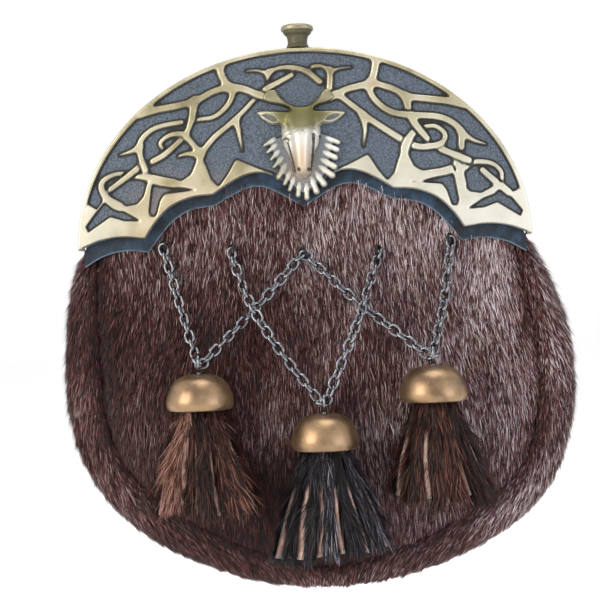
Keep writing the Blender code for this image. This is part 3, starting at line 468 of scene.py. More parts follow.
def outline_distance(x, z, outline):
    """How far each point lies outside a closed outline. It is negative inside."""
    closed = np.vstack([outline, outline[:1]])
    away = line_distance(x, z, closed, np.zeros(len(closed)))
    inside = np.zeros(x.shape, bool)
    for (x0, z0), (x1, z1) in zip(closed, closed[1:]):
        if z0 != z1:
            crosses = (z0 > z) != (z1 > z)
            inside ^= crosses & (x < (x1 - x0) * (z - z0) / (z1 - z0) + x0)
    return np.where(inside, -away, away)


def joined(one, other, web):
    """The smaller of two distances, with a web of that size where they meet."""
    share = np.clip(0.5 + 0.5 * (other - one) / web, 0, 1)
    return other * (1 - share) + one * share - web * share * (1 - share)


def crown(x):
    return CROWN * (1 - np.clip(np.abs(x) / HALF_WIDTH, 0, 1) ** 2)


def edge_line(rows, steps=8):
    """A scalloped edge from left to right, smooth between one cusp and the next."""
    half, stretch = [], []
    for row in rows:
        stretch.append((row.across * HALF_WIDTH, row.up * HEIGHT))
        if row.cusp and len(stretch) > 1:
            half += smooth_line(stretch, steps)[:-1].tolist()
            stretch = stretch[-1:]
    half = np.array(half)
    middle = [(0, rows[-1].up * HEIGHT)]
    return np.vstack([half * (-1, 1), middle, half[::-1]])


def on_plate(points):
    return np.array(points, float) / 100 * (HALF_WIDTH, HEIGHT)


# %% The relief as a distance and a height
OVERLAP_GAP = 0.55 * MM
WEB = 1.6 * MM
SHOULDER = 0.62 * MM
CANTLE_LINE = edge_line(CANTLE_EDGE)


def arc_distance(x, z):
    """How far a point lies inside the plate's outer arc."""
    squared = (x / HALF_WIDTH) ** 2 + (z / HEIGHT) ** 2
    return (1 - squared) / (2 * np.hypot(x / HALF_WIDTH**2, z / HEIGHT**2) + 1e-9)


def strap_distances(x, z):
    """Each strap's own distance, worked out near it alone."""
    found = {}
    for strap in STRAPS:
        line = smooth_line(on_plate(strap.points), 4)
        radii = np.linspace(strap.start, strap.end, len(line)) * STRAP_WIDTH / 2
        margin = 6 * MM
        low, high = line.min(0) - margin, line.max(0) + margin
        near = (x > low[0]) & (x < high[0]) & (z > low[1]) & (z < high[1])
        away = np.full(x.shape, 1.0)
        away[near] = line_distance(x[near], z[near], line, radii)
        found[strap.name] = away
    return found


def relief_distance(x, z):
    """How far each point of the plate lies outside its raised work."""
    straps = strap_distances(x, z)
    total = arc_distance(x, z) - RIM_WIDTH
    for sign in (-1, 1):
        top = on_plate(BORDER_TOP) * (sign, 1)
        lower = CANTLE_LINE[sign * CANTLE_LINE[:, 0] >= top[0, 0] * sign]
        lower = lower[::-1] if sign > 0 else lower
        border = outline_distance(x, z, np.vstack([lower, top]))
        for slot in (CORNER_SLOT, HOOK_SLOT):
            border = np.maximum(border, -outline_distance(x, z, on_plate(slot) * (sign, 1)))
        total = joined(total, border, WEB / 2)
    for strap in STRAPS:
        away = straps[strap.name]
        for over in strap.under:
            away = np.maximum(away, OVERLAP_GAP - straps[over])
        total = joined(total, away, WEB)
    for strap in STRAPS:
        for over in strap.under:
            ring = np.abs(straps[over] - OVERLAP_GAP / 2) - OVERLAP_GAP / 2
            seam = np.maximum(ring, straps[strap.name] - 0.2 * MM)
            total = np.maximum(total, -seam)
    return total


print("outline points:", len(CANTLE_LINE))

# %% [markdown]
# The grid follows the plate: columns run from the scalloped edge up to the arc, evenly spaced along the arc.
# Each column goes on round the rim, back over the pouch and down the plate's back, so the plate is closed.

# %% The cantle plate
COLUMNS = 570
ROWS = 130
RIM_RETURN = 6.0 * MM
EDGE_ROUND = 0.7 * MM


def blurred(values, times):
    for _ in range(times):
        padded = np.pad(values, 1, mode="edge")
        around = padded[:-2, 1:-1] + padded[2:, 1:-1] + padded[1:-1, :-2] + padded[1:-1, 2:]
        values = (around + 4 * padded[1:-1, 1:-1]) / 8
    return values


def arc_stations(count):
    """Angles from the left corner over the top to the right, evenly spaced along the arc."""
    fine = np.linspace(math.pi, 0, 4000)
    along = np.hypot(np.diff(HALF_WIDTH * np.cos(fine)), np.diff(HEIGHT * np.sin(fine)))
    along = np.concatenate([[0], np.cumsum(along)])
    return np.interp(np.linspace(0, along[-1], count), along, fine)


def plate_columns():
    """The plate's points column by column, with how raised each is, its dark lines (patina and painted
    shade), its painted highlight and its blush.
    """
    angles = arc_stations(COLUMNS)
    arc_x, arc_z = HALF_WIDTH * np.cos(angles), HEIGHT * np.sin(angles)
    low_z = np.interp(arc_x, CANTLE_LINE[:, 0], CANTLE_LINE[:, 1])
    share = np.linspace(0, 1, ROWS)[None, :]
    x = np.repeat(arc_x[:, None], ROWS, 1)
    z = low_z[:, None] + (np.maximum(arc_z, low_z) - low_z)[:, None] * share
    away = blurred(relief_distance(x, z), 5)
    height = RELIEF * np.sin(np.clip(-away / SHOULDER, 0, 1) * math.pi / 2) ** 0.8
    edge = np.minimum(arc_distance(x, z), line_distance(x, z, CANTLE_LINE, np.zeros(len(CANTLE_LINE))))
    drop = 1 - np.sqrt(np.clip(1 - np.clip(1 - edge / EDGE_ROUND, 0, 1) ** 2, 0, 1))
    y = GROUND_Y - crown(x) - height + drop * EDGE_ROUND
    raised = smooth_step(-away / (0.45 * MM) + 0.1)
    # Dark lines along the foot of every step: partly patina, partly painted shade
    edge_patina_and_shade = smooth_step((1 - np.abs(away - 0.20 * MM) / (0.56 * MM)) * 1.7)
    edge_patina_and_shade *= smooth_step(edge / EDGE_ROUND)
    # Painted highlight (pale): the lower plate whitened, strongly on the right and on the left only near the
    # corner
    out_left = -x / HALF_WIDTH
    low = smooth_step(1.05 - 1.3 * z / HEIGHT)
    pale = low * np.where(x > 0, 0.60, 0.36 * smooth_step((out_left - 0.62) / 0.3))
    blush = 0.34 * smooth_step(1.2 - 2.6 * z / HEIGHT) * smooth_step(out_left / 0.2)
    blush *= smooth_step((0.85 - out_left) / 0.3)
    return angles, x, y, z, (raised, edge_patina_and_shade, pale, blush)


# %% The plate closed round its rim
def cantle():
    angles, x, y, z, shades = plate_columns()
    outer = np.stack([HALF_WIDTH * np.cos(angles), HEIGHT * np.sin(angles)], 1)
    inner = np.stack([(HALF_WIDTH - RIM_WALL) * np.cos(angles), (HEIGHT - RIM_WALL) * np.sin(angles)], 1)
    bow = crown(x[:, 0])
    plate_back = GROUND_Y + THICKNESS - bow
    rim_back = plate_back + RIM_RETURN
    edge_y = y[:, -1]
    rings = [np.stack([x[:, k], y[:, k], z[:, k]], 1) for k in range(ROWS)]
    rings.append(np.stack([outer[:, 0], (edge_y + rim_back) / 2, outer[:, 1]], 1))
    rings.append(np.stack([outer[:, 0], rim_back, outer[:, 1]], 1))
    rings.append(np.stack([inner[:, 0], rim_back, inner[:, 1]], 1))
    rings.append(np.stack([inner[:, 0], plate_back, inner[:, 1]], 1))
    low = z[:, 0]
    rings.append(np.stack([x[:, 0], plate_back, (low + np.maximum(inner[:, 1], low)) / 2], 1))
    rings.append(np.stack([x[:, 0], plate_back, low], 1))
    rings.append(np.stack([x[:, 0], (plate_back + y[:, 0]) / 2, low], 1))
    count = len(rings)
    points = np.stack(rings, 1).reshape(-1, 3)
    faces = []
    for column in range(COLUMNS - 1):
        for row in range(count):
            following = (row + 1) % count
            one, other = column * count, (column + 1) * count
            faces.append((one + row, one + following, other + following, other + row))
    extra = count - ROWS
    # The rim and back rings: raised, with no dark line, a little painted highlight and no blush
    rests = (0.85, 0, 0.3, 0)
    raised, edge_patina_and_shade, pale, blush = (
        np.hstack([values, np.full((COLUMNS, extra), rest)]).ravel() for values, rest in zip(shades, rests)
    )
    made = from_arrays(
        "cantle", points, faces, cast_brass, raised=raised, outline=edge_patina_and_shade, pale=pale, blush=blush
    )
    form = bmesh.new()
    form.from_mesh(made.data)
    bmesh.ops.remove_doubles(form, verts=form.verts, dist=0.02 * MM)
    bmesh.ops.holes_fill(form, edges=form.edges, sides=0)
    bmesh.ops.recalc_face_normals(form, faces=form.faces)
    form.to_mesh(made.data)
    form.free()
    made.data.shade_smooth()
    return made


dress(cantle(), "cast_brass", "cantle_plate")

# %% [markdown]
# The stag's head is a second height field. Its muzzle and skull are rounded sections along the face, and the
# brow, eyes, ears and every lock of the ruff are added on top. Where the surface lies below its blurred self
# it is a hollow, and hollows are darkened: partly the patina they keep, partly painted shade.

# %% The stag's head
HEAD_CELL = 0.26 * MM
HEAD_BACK = GROUND_Y - CROWN - 0.3 * MM
FaceRow = namedtuple("FaceRow", "z ridge half tall")
FACE_ROWS = (
    FaceRow(25.7, 1.5, 1.7, 3.4), FaceRow(26.6, 2.5, 2.8, 5.8), FaceRow(28.5, 3.1, 3.4, 7.4),
    FaceRow(31.0, 3.4, 3.8, 8.0), FaceRow(34.0, 3.7, 4.7, 8.3), FaceRow(38.0, 4.1, 6.7, 8.4),
    FaceRow(41.5, 4.5, 7.7, 8.1), FaceRow(44.0, 5.4, 7.7, 7.4), FaceRow(46.5, 6.3, 7.6, 6.2),
    FaceRow(49.0, 6.4, 7.0, 4.9), FaceRow(52.0, 5.2, 5.6, 3.5), FaceRow(53.6, 4.0, 4.4, 2.6),
)
CROWN_OUTLINE = (
    (-17.5, 52.0), (-14.2, 52.8), (-9.0, 52.5), (-5.2, 52.3), (-3.7, 52.6), (-5.0, 53.5), (-8.1, 54.7),
    (-12.0, 55.8), (-15.0, 57.4), (-14.4, 59.6), (-12.0, 61.0), (-9.7, 61.2), (-8.1, 58.5), (-5.4, 55.9),
    (-2.2, 54.4), (0.9, 54.0), (3.8, 54.7), (7.0, 57.0), (9.4, 60.2), (11.2, 60.6), (13.2, 59.0),
    (13.9, 56.9), (10.5, 54.9), (7.3, 53.9), (5.8, 52.7), (7.0, 52.3), (10.2, 52.2), (14.9, 51.8),
    (18.0, 50.9), (15.5, 48.4), (12.1, 46.7), (9.2, 46.6), (7.2, 45.2), (4.0, 43.2), (0.0, 42.8),
    (-4.0, 43.2), (-7.2, 45.0), (-8.7, 46.9), (-11.6, 47.0), (-15.2, 49.2),
)
EAR_HOLLOWS = (
    ((-15.9, 51.1), (-13.6, 49.2), (-11.4, 48.0), (-9.2, 48.0), (-9.8, 49.6), (-11.6, 50.8), (-13.8, 51.5)),
    ((16.2, 50.2), (14.2, 48.5), (12.0, 47.7), (9.8, 47.9), (10.6, 49.2), (12.6, 50.2), (14.6, 50.6)),
)
RUFF_OUTLINE = (
    (-8.2, 42.0), (-12.6, 40.0), (-12.2, 37.6), (-11.0, 35.0), (-9.9, 32.0), (-8.3, 28.2), (-6.2, 25.0),
    (-4.4, 22.8), (-1.6, 20.2), (1.2, 19.3), (4.2, 22.0), (6.9, 24.6), (9.4, 27.5), (10.5, 30.6),
    (11.2, 34.4), (12.0, 37.2), (12.3, 40.2), (8.6, 42.8), (0.0, 44.0),
)
LOCK_ROOT = 1.2
LOCK_TIP = 2.6
Lock = namedtuple("Lock", "root tip start end")
LOCKS = (
    Lock((-10.8, 41.2), (-14.9, 38.7), 1.35, 0.55), Lock((-10.3, 38.8), (-13.7, 36.0), 1.35, 0.60),
    Lock((-9.4, 36.3), (-12.3, 33.1), 1.40, 0.60), Lock((-8.1, 33.5), (-11.4, 30.0), 1.45, 0.65),
    Lock((-6.8, 30.7), (-9.7, 25.9), 1.45, 1.10), Lock((-5.2, 27.6), (-7.3, 23.2), 1.25, 0.80),
    Lock((-3.6, 25.4), (-5.4, 20.8), 1.20, 0.80), Lock((-1.5, 23.2), (-2.1, 18.6), 1.15, 1.05),
    Lock((1.3, 22.6), (1.3, 17.4), 1.20, 1.15), Lock((3.4, 25.2), (5.2, 19.8), 1.15, 1.35),
    Lock((5.3, 27.2), (8.3, 22.7), 1.20, 1.45), Lock((6.9, 29.6), (11.7, 26.0), 1.25, 1.45),
    Lock((7.8, 32.4), (12.7, 29.4), 1.25, 1.45), Lock((8.8, 35.3), (13.2, 33.0), 1.25, 1.35),
    Lock((9.7, 38.2), (14.0, 36.1), 1.25, 1.25), Lock((10.1, 41.0), (14.6, 39.0), 1.20, 1.05),
)
# Dark strokes on the face: the wide one down the right of the snout and the one over the right eye socket are
# painted shade of the face's shaded side. The others are patina lines along the left of the snout, at the
# left eye and in the nostrils.
DARK_STROKES = (
    (((4.9, 42.0), (4.7, 38.5), (4.2, 33.5), (3.6, 28.2)), 0.75, 0.50),
    (((-5.4, 39.4), (-4.5, 35.5), (-3.6, 31.5), (-2.9, 27.8)), 0.42, 0.34),
    (((-7.2, 40.6), (-6.0, 41.1), (-4.9, 40.3)), 0.32, 0.35),
    (((7.4, 41.6), (7.2, 38.8), (5.4, 35.4)), 0.50, 0.34),
    (((-1.5, 28.5), (-1.3, 28.1)), 0.72, 0.60),
    (((2.5, 28.5), (2.3, 28.1)), 0.72, 0.60),
)


# %% Bumps, strokes and outlines on the head
def bump(x, z, x0, z0, radius, tall):
    """A rounded bump, or a pit if its height is negative."""
    share = np.clip(1 - np.hypot(x - x0, z - z0) ** 2 / radius**2, 0, 1)
    return tall * share * np.sqrt(share + 1e-9)


def stroke(x, z, points, start, end, tall, tip=1.0):
    """A rounded ridge along a smooth line, whose width and height run from one end to the other."""
    line = smooth_line(points, 5)
    best = np.zeros(x.shape)
    shares = np.linspace(0, 1, len(line))
    for (x0, z0), (x1, z1), s0, s1 in zip(line, line[1:], shares, shares[1:]):
        dx, dz = x1 - x0, z1 - z0
        along = np.clip(((x - x0) * dx + (z - z0) * dz) / (dx * dx + dz * dz + 1e-12), 0, 1)
        away = np.hypot(x - x0 - along * dx, z - z0 - along * dz)
        share = s0 + (s1 - s0) * along
        half = start + (end - start) * share
        high = tall * (tip + (1 - tip) * (1 - share))
        best = np.maximum(best, high * np.clip(1 - (away / half) ** 2, 0, 1) ** 0.5)
    return best


def round_outline(points):
    """A closed outline through the points, with its corners rounded."""
    points = list(points)
    return smooth_line(points[-2:] + points + points[:2], 4)[8:-8]


# %% The height of the head
def head_height(x, z):
    """The head's height above its back, how rubbed bright it is and how dark its strokes of patina and
    painted shade are, at points in mm.
    """
    rows = np.array(FACE_ROWS)
    ridge, half, tall = (np.interp(z, rows[:, 0], rows[:, k]) for k in (1, 2, 3))
    within = (z > rows[0, 0]) & (z < rows[-1, 0])
    flat = tall * np.clip(1 - (np.abs(x) / ridge) ** 2.6, 0, 1) ** 0.42
    cheeks = 0.62 * tall * np.clip(1 - (np.abs(x) / half) ** 3.0, 0, 1) ** 0.5
    face = blurred(np.maximum(flat, cheeks) * within, 3)
    inside = face > 1.5
    for sign in (-1, 1):
        brow = stroke(x, z, ((sign * 2.6, 43.6), (sign * 5.2, 43.4), (sign * 7.4, 42.0)), 0.8, 0.9, 0.9)
        face += np.where(inside, brow, 0)
        face += bump(x, z, sign * 5.8, 40.2, 1.7, -1.4)
        face += bump(x, z, sign * 5.8, 39.9, 1.15, 1.9)
    face += stroke(x, z, ((-1.5, 28.7), (-1.2, 28.1)), 0.55, 0.4, -1.2)
    face += stroke(x, z, ((2.5, 28.5), (2.2, 27.9)), 0.55, 0.4, -1.2)
    for spot in ((0.7, 43.5), (0.6, 39.5)):
        face += bump(x, z, *spot, 0.6, -0.7)
    depth = -outline_distance(x, z, round_outline(CROWN_OUTLINE))
    middle = np.exp(-((x / 7.0) ** 2) - ((z - 47.0) / 5.0) ** 2)
    thick = 2.5 + 2.6 * middle - 0.8 * smooth_step((np.abs(x) - 11) / 7) * (z < 53)
    thick -= 0.9 * smooth_step((z - 55) / 4)
    crown_top = thick * np.clip(depth / 1.2, 0, 1) ** 0.5
    sunk = np.zeros(x.shape)
    for hollow in EAR_HOLLOWS:
        sunk += smooth_step(-outline_distance(x, z, round_outline(hollow)) / 0.8 + 0.3)
    crown_top -= 0.85 * sunk * (depth > 0.4)
    either = (face > 0.3) | (crown_top > 0.3)
    field = np.where(either, -joined(-face, -crown_top, 1.4), np.maximum(face, crown_top))
    plate_depth = -outline_distance(x, z, round_outline(RUFF_OUTLINE))
    plate = 1.3 * np.clip(plate_depth / 0.5 + 0.4, 0, 1)
    locks = np.zeros(x.shape)
    for lock in LOCKS:
        ends = (lock.root, lock.tip)
        locks = np.maximum(locks, stroke(x, z, ends, lock.start, lock.end, LOCK_ROOT, LOCK_TIP / LOCK_ROOT))
    low = np.where(plate_depth > 0, np.maximum(plate, locks), locks)
    bright = np.where(field > 0.3, 1 - 0.9 * np.clip(sunk, 0, 1), np.clip((locks - 0.9) / 0.4, 0.12, 1))
    stroke_darkness = np.zeros(x.shape)
    for line, start, end in DARK_STROKES:
        stroke_darkness = np.maximum(stroke_darkness, stroke(x, z, line, start, end, 1.0))
    return np.where(field > 0.3, field, low), bright, stroke_darkness * (field > 0.3)


# %% The head as a mesh
def stag_head():
    across = np.arange(-18.6, 18.6, HEAD_CELL / MM)
    up = np.arange(15.6, 61.0, HEAD_CELL / MM)
    z, x = np.meshgrid(up, across, indexing="ij")
    field, bright, stroke_darkness = head_height(x, z)
    field = blurred(field, 1)
    # Dark in hollows and at the foot of the relief: partly patina kept there, partly painted shade
    hollow = smooth_step((blurred(field, 12) - field - 0.05) / 0.6) * np.where(z < 42, 1 - 0.7 * bright, 1)
    edge = smooth_step(1 - field / 0.6)
    edge_patina_and_shade = np.clip(hollow + edge + smooth_step(stroke_darkness * 1.4), 0, 1)
    # Olive over the brow, crown and ears: painted shade where they face up, less out on the ears
    olive = smooth_step((z - 41.4 - 0.04 * x**2) / 4.2) * (1 - 0.45 * smooth_step((z - 53.5) / 4))
    olive *= 1 - 0.75 * smooth_step((np.abs(x) - 7) / 7) * (z < 53)
    blush = 0.55 * np.exp(-(((x + 0.3) / 4.6) ** 2) - ((z - 31.5) / 6.5) ** 4)
    # Painted highlight (pale) on the face: strongest on the brow and snout, less low on the muzzle and on the
    # left, fading out above the brow
    pale = 0.75 - 0.25 * smooth_step((36 - z) / 6) - 0.2 * smooth_step((-x - 5) / 4)
    pale *= smooth_step((50 - z) / 5)
    keep = field > 0.06
    index = np.full(field.shape, -1)
    index[keep] = np.arange(keep.sum())
    points = np.stack([x[keep] * MM, HEAD_BACK - field[keep] * MM, z[keep] * MM], 1)
    corners = np.stack([index[:-1, :-1], index[:-1, 1:], index[1:, 1:], index[1:, :-1]], -1).reshape(-1, 4)
    faces = corners[(corners >= 0).all(1)]
    made = from_arrays(
        "head", points, faces, cast_brass,
        raised=bright[keep], outline=edge_patina_and_shade[keep] * 0.92, olive=olive[keep], blush=blush[keep],
        pale=pale[keep],
    )
    form = bmesh.new()
    form.from_mesh(made.data)
    bmesh.ops.delete(form, geom=[v for v in form.verts if not v.link_faces], context="VERTS")
    rim = [edge for edge in form.edges if edge.is_boundary]
    out = bmesh.ops.extrude_edge_only(form, edges=rim)
    for vertex in [item for item in out["geom"] if isinstance(item, bmesh.types.BMVert)]:
        vertex.co.y = HEAD_BACK + 0.25 * MM
    form.to_mesh(made.data)
    form.free()
    made.data.shade_smooth()
    return made


dress(stag_head(), "cast_brass", "stag_head")

# %% [markdown]
# The knob, the three domes and the stud behind are turned. A profile of a few points is smoothed and swung
# round its axis.

# %% Turned pieces
TURN_STEPS = 64
DOME_RADIUS = 13.2 * MM
DOME_HEIGHT = 13.9 * MM
DOME_WALL = 1.2 * MM
DOME_PROFILE = (
    (0.12, 1.00), (0.28, 0.995), (0.46, 0.96), (0.62, 0.895), (0.755, 0.79), (0.86, 0.65), (0.935, 0.49),
    (0.985, 0.33), (1.00, 0.22), (0.99, 0.12), (0.95, 0.04), (0.91, 0.005), (0.87, 0.005),
)
KNOB_PROFILE = (
    (0.00, 1.00), (0.40, 1.00), (0.80, 0.985), (0.96, 0.93), (1.00, 0.85), (0.98, 0.76), (0.88, 0.71),
    (0.86, 0.66), (0.80, 0.60), (0.68, 0.52), (0.62, 0.40), (0.60, 0.22), (0.66, 0.10), (0.70, 0.03),
    (0.70, 0.00), (0.0, 0.0),
)
STUD_PROFILE = (
    (0.00, 1.00), (0.45, 0.98), (0.80, 0.90), (0.98, 0.76), (0.97, 0.62), (0.80, 0.52), (0.52, 0.42),
    (0.48, 0.20), (0.50, 0.00), (0.0, 0.0),
)


def turned(name, profile, material, steps=TURN_STEPS):
    """A body swung about Z from (radius, height) points, closed if the profile's ends lie on the axis."""
    count = len(profile)
    points, faces = [], []
    for k in range(steps):
        angle = 2 * math.pi * k / steps
        points += [(r * math.cos(angle), r * math.sin(angle), h) for r, h in profile]
    closed = profile[0][0] > 1e-6
    for k in range(steps):
        one, other = k * count, (k + 1) % steps * count
        for j in range(count if closed else count - 1):
            following = (j + 1) % count
            faces.append((one + j, one + following, other + following, other + j))
    made = from_arrays(name, points, faces, material)
    form = bmesh.new()
    form.from_mesh(made.data)
    bmesh.ops.remove_doubles(form, verts=form.verts, dist=1e-6)
    bmesh.ops.recalc_face_normals(form, faces=form.faces)
    form.to_mesh(made.data)
    form.free()
    made.data.shade_smooth()
    return made


def moved(made, place, turn=Matrix.Identity(4)):
    made.data.transform(Matrix.Translation(place) @ turn)
    return made


# %% Aged brass and gunmetal
aged_brass, tree, shader = finish("aged_brass", Metallic=0.85, Coat_Weight=0.15, Coat_Roughness=0.3)
coords = add(tree, "ShaderNodeTexCoord").outputs["Object"]
smudges = add(
    tree, "ShaderNodeTexNoise", {"Vector": coords, "Scale": 1 / (9 * MM), "Detail": 4.0, "Roughness": 0.6}
)
tone = add(
    tree, "ShaderNodeValToRGB", {"Fac": smudges.outputs["Fac"]},
    stops=((0.26, "#66503f"), (0.42, "#836a51"), (0.58, "#93795b"), (0.76, "#7a5f4a")),
)
tree.links.new(tone.outputs["Color"], shader.inputs["Base Color"])
dulling = add(
    tree, "ShaderNodeMapRange",
    {"Value": smudges.outputs["Fac"], "From Min": 0.35, "From Max": 0.65, "To Min": 0.30, "To Max": 0.42}
)
tree.links.new(dulling.outputs["Result"], shader.inputs["Roughness"])

gunmetal, _, shader = finish("gunmetal_steel", Base_Color=linear("#75777c"), Metallic=1.0, Roughness=0.24)
# Near-black steel for the wire eyes, partly painted shade: it stands in for the dark holes in the fur where
# the chains come out
near_black, _, shader = finish("blackened_steel", Base_Color=linear("#161618"), Metallic=0.5, Roughness=0.45)

# %% The knob, domes and stud
knob_low, knob_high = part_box("knob")
knob_radius = (knob_high.x - knob_low.x) / 2
knob_tall = knob_high.z - knob_low.z
profile = smooth_line([(r * knob_radius, h * knob_tall) for r, h in KNOB_PROFILE], 4)
profile[:, 0] = np.maximum(profile[:, 0], 0)
knob = turned("knob_turned", profile.tolist(), cast_brass)
heights = np.array([vertex.co.z for vertex in knob.data.vertices]) / knob_tall
cap = smooth_step((heights - 0.68) / 0.1)
# The neck under the cap: darker lines, more olive and less raised than the cap, partly painted shade under
# the cap
for attribute, values in (
    ("raised", 0.45 + 0.4 * cap), ("olive", 0.75 - 0.45 * cap), ("outline", 0.55 - 0.4 * cap)
):
    layer = knob.data.attributes.new(attribute, "FLOAT", "POINT")
    layer.data.foreach_set("value", values.astype(np.float32))
moved(knob, (0, (knob_low.y + knob_high.y) / 2, knob_low.z))
dress(knob, "cast_brass", "knob")

outer = smooth_line([(r * DOME_RADIUS, h * DOME_HEIGHT) for r, h in DOME_PROFILE], 4)
bore = np.maximum(outer[:, 0] - DOME_WALL, 0.1 * DOME_RADIUS)
roof_wall = DOME_WALL * smooth_step((outer[:, 1] / DOME_HEIGHT - 0.3) / 0.5)
inner = np.stack([bore, outer[:, 1] - roof_wall], 1)
for side in ("left", "middle", "right"):
    low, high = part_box("dome_" + side)
    dome = turned("bell_" + side, np.vstack([outer, inner[::-1]]).tolist(), aged_brass)
    moved(dome, ((low.x + high.x) / 2, (low.y + high.y) / 2, low.z))
    dress(dome, "aged_brass", "dome_" + side)

low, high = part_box("flap_stud")
radius, tall = (high.x - low.x) / 2, high.y - low.y
profile = smooth_line([(r * radius, h * tall) for r, h in STUD_PROFILE], 4)
profile[:, 0] = np.maximum(profile[:, 0], 0)
stud = turned("stud", profile.tolist(), aged_brass, 40)
moved(stud, (0, low.y, (low.z + high.z) / 2), Matrix.Rotation(-math.pi / 2, 4, "X"))
dress(stud, "aged_brass", "flap_stud")

# %% [markdown]
# The leather layer under the cantle shows as a blue-black band with a pale cut edge, which is partly a
# painted highlight. It is built like the plate, in columns from its own scalloped edge up behind the plate.

# %% Trim leather
TRIM_LINE = edge_line(TRIM_EDGE, 10)
TRIM_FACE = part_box("leather_trim")[0].y + CROWN
TRIM_THICK = 2.0 * MM

trim_leather, tree, shader = finish("blue_black_leather", Roughness=0.5, Specular_IOR_Level=0.30)
coords = add(tree, "ShaderNodeTexCoord").outputs["Object"]
# The pale cut edge is partly a painted highlight along the leather's rounded lower edge
cut_edge = add(tree, "ShaderNodeAttribute", attribute_name="cut_edge").outputs["Fac"]
mottle = add(tree, "ShaderNodeTexNoise", {"Vector": coords, "Scale": 1 / (5 * MM), "Detail": 4.0})
body = add(
    tree, "ShaderNodeValToRGB", {"Fac": mottle.outputs["Fac"]},
    stops=((0.32, "#0a131c"), (0.5, "#14222f"), (0.68, "#22384d"))
)
lined = add(
    tree, "ShaderNodeMix", {"Factor": cut_edge, "A": body.outputs["Color"], "B": linear("#6d8496")},
    data_type="RGBA"
)
tree.links.new(lined.outputs["Result"], shader.inputs["Base Color"])
pores = add(tree, "ShaderNodeTexVoronoi", {"Vector": coords, "Scale": 1 / (0.8 * MM)})
grained = add(
    tree, "ShaderNodeBump", {"Strength": 0.35, "Distance": 0.15 * MM, "Height": pores.outputs["Distance"]}
)
tree.links.new(grained.outputs["Normal"], shader.inputs["Normal"])


def trim_layer():
    columns, rows = 360, 30
    span = TRIM_LINE[-1, 0]
    x = np.linspace(-span, span, columns)
    low = np.interp(x, TRIM_LINE[:, 0], TRIM_LINE[:, 1])
    arc = (HEIGHT - 3 * MM) * np.sqrt(np.clip(1 - (x / (HALF_WIDTH - 3 * MM)) ** 2, 0, 1))
    top = np.maximum(arc, low + 0.5 * MM)
    share = np.concatenate([np.linspace(0, 0.12, 14), np.linspace(0.16, 1, rows - 14)])
    z = low[:, None] + (top - low)[:, None] * share[None, :]
    grid_x = np.repeat(x[:, None], rows, 1)
    away = line_distance(grid_x, z, TRIM_LINE, np.zeros(len(TRIM_LINE)))
    round_off = 0.8 * MM
    drop = 1 - np.sqrt(np.clip(1 - np.clip(1 - away / round_off, 0, 1) ** 2, 0, 1))
    y = TRIM_FACE - crown(grid_x) + drop * round_off
    back = TRIM_FACE + TRIM_THICK - crown(x)
    rings = [np.stack([x, y[:, k], z[:, k]], 1) for k in range(rows)]
    rings.append(np.stack([x, back, top], 1))
    rings.append(np.stack([x, back, low], 1))
    count = len(rings)
    points = np.stack(rings, 1).reshape(-1, 3)
    faces = [
        (c * count + r, c * count + (r + 1) % count, (c + 1) * count + (r + 1) % count, (c + 1) * count + r)
        for c in range(columns - 1)
        for r in range(count)
    ]
    faces += [tuple(range(count)), tuple(reversed(range((columns - 1) * count, columns * count)))]
    # Pale cut edge, partly painted highlight
    cut = smooth_step(1.15 - away / (0.50 * MM))
    cut = np.hstack([cut, np.zeros((columns, 1)), np.ones((columns, 1))])
    return from_arrays("trim", points, faces, trim_leather, cut_edge=cut.ravel())


dress(trim_layer(), "trim_leather", "leather_trim")

# %% [markdown]
# The hide under the fur. The CAD skins are rounded, and each point learns which way hair lies there, how long
# it grows and how dark it is: a random tone with painted light, lighter to the right, and painted shade along
# the seam, low down and between the tassels. On the front it falls straight down, and it stays short beside
# the seam, so that the seam shows as a groove. On the side band it follows the band round to the bottom.

# %% Hide
hide_finish, _, shader = finish("dark_hide", Base_Color=linear("#1d1213"), Roughness=0.9)
leather, tree, shader = finish("black_leather", Roughness=0.5, Specular_IOR_Level=0.4)
coords = add(tree, "ShaderNodeTexCoord").outputs["Object"]
mottle = add(tree, "ShaderNodeTexNoise", {"Vector": coords, "Scale": 1 / (11 * MM), "Detail": 4.0})
tone = add(
    tree, "ShaderNodeValToRGB", {"Fac": mottle.outputs["Fac"]}, stops=((0.35, "#0f0e0e"), (0.65, "#1c1a19"))
)
tree.links.new(tone.outputs["Color"], shader.inputs["Base Color"])
pores = add(tree, "ShaderNodeTexVoronoi", {"Vector": coords, "Scale": 1 / (1.1 * MM)})
grained = add(
    tree, "ShaderNodeBump", {"Strength": 0.5, "Distance": 0.2 * MM, "Height": pores.outputs["Distance"]}
)
tree.links.new(grained.outputs["Normal"], shader.inputs["Normal"])

hides = {}
for node, slot in (("front_panel", "brown_fur"), ("gusset", "brown_fur")):
    hides[node] = new_object(node + "_hide", surface_of(node, 2), hide_finish)
    dress(hides[node], slot, node)
dress(new_object("top_leather", surface_of("top_band", 2), leather), "back_leather", "top_band")


# %% Reading the seam and the hide
def mesh_points(mesh):
    points = np.empty(len(mesh.vertices) * 3, np.float32)
    mesh.vertices.foreach_get("co", points)
    normals = np.empty(len(mesh.vertices) * 3, np.float32)
    mesh.vertices.foreach_get("normal", normals)
    return points.reshape(-1, 3).astype(float), normals.reshape(-1, 3).astype(float)


# %% The seam
SEAM_ROWS = (
    (0.00, 0.955, 0.955), (0.15, 0.985, 0.982), (0.33, 1.000, 1.000), (0.49, 0.990, 1.000),
    (0.61, 0.945, 0.965), (0.71, 0.855, 0.905), (0.802, 0.700, 0.755), (0.883, 0.490, 0.545),
    (0.953, 0.252, 0.285), (0.992, 0.000, 0.000),
)
SEAM_HALF_WIDTH = 88 * MM
POUCH_DROP = 132 * MM
POUCH_LEAN = 4 * MM


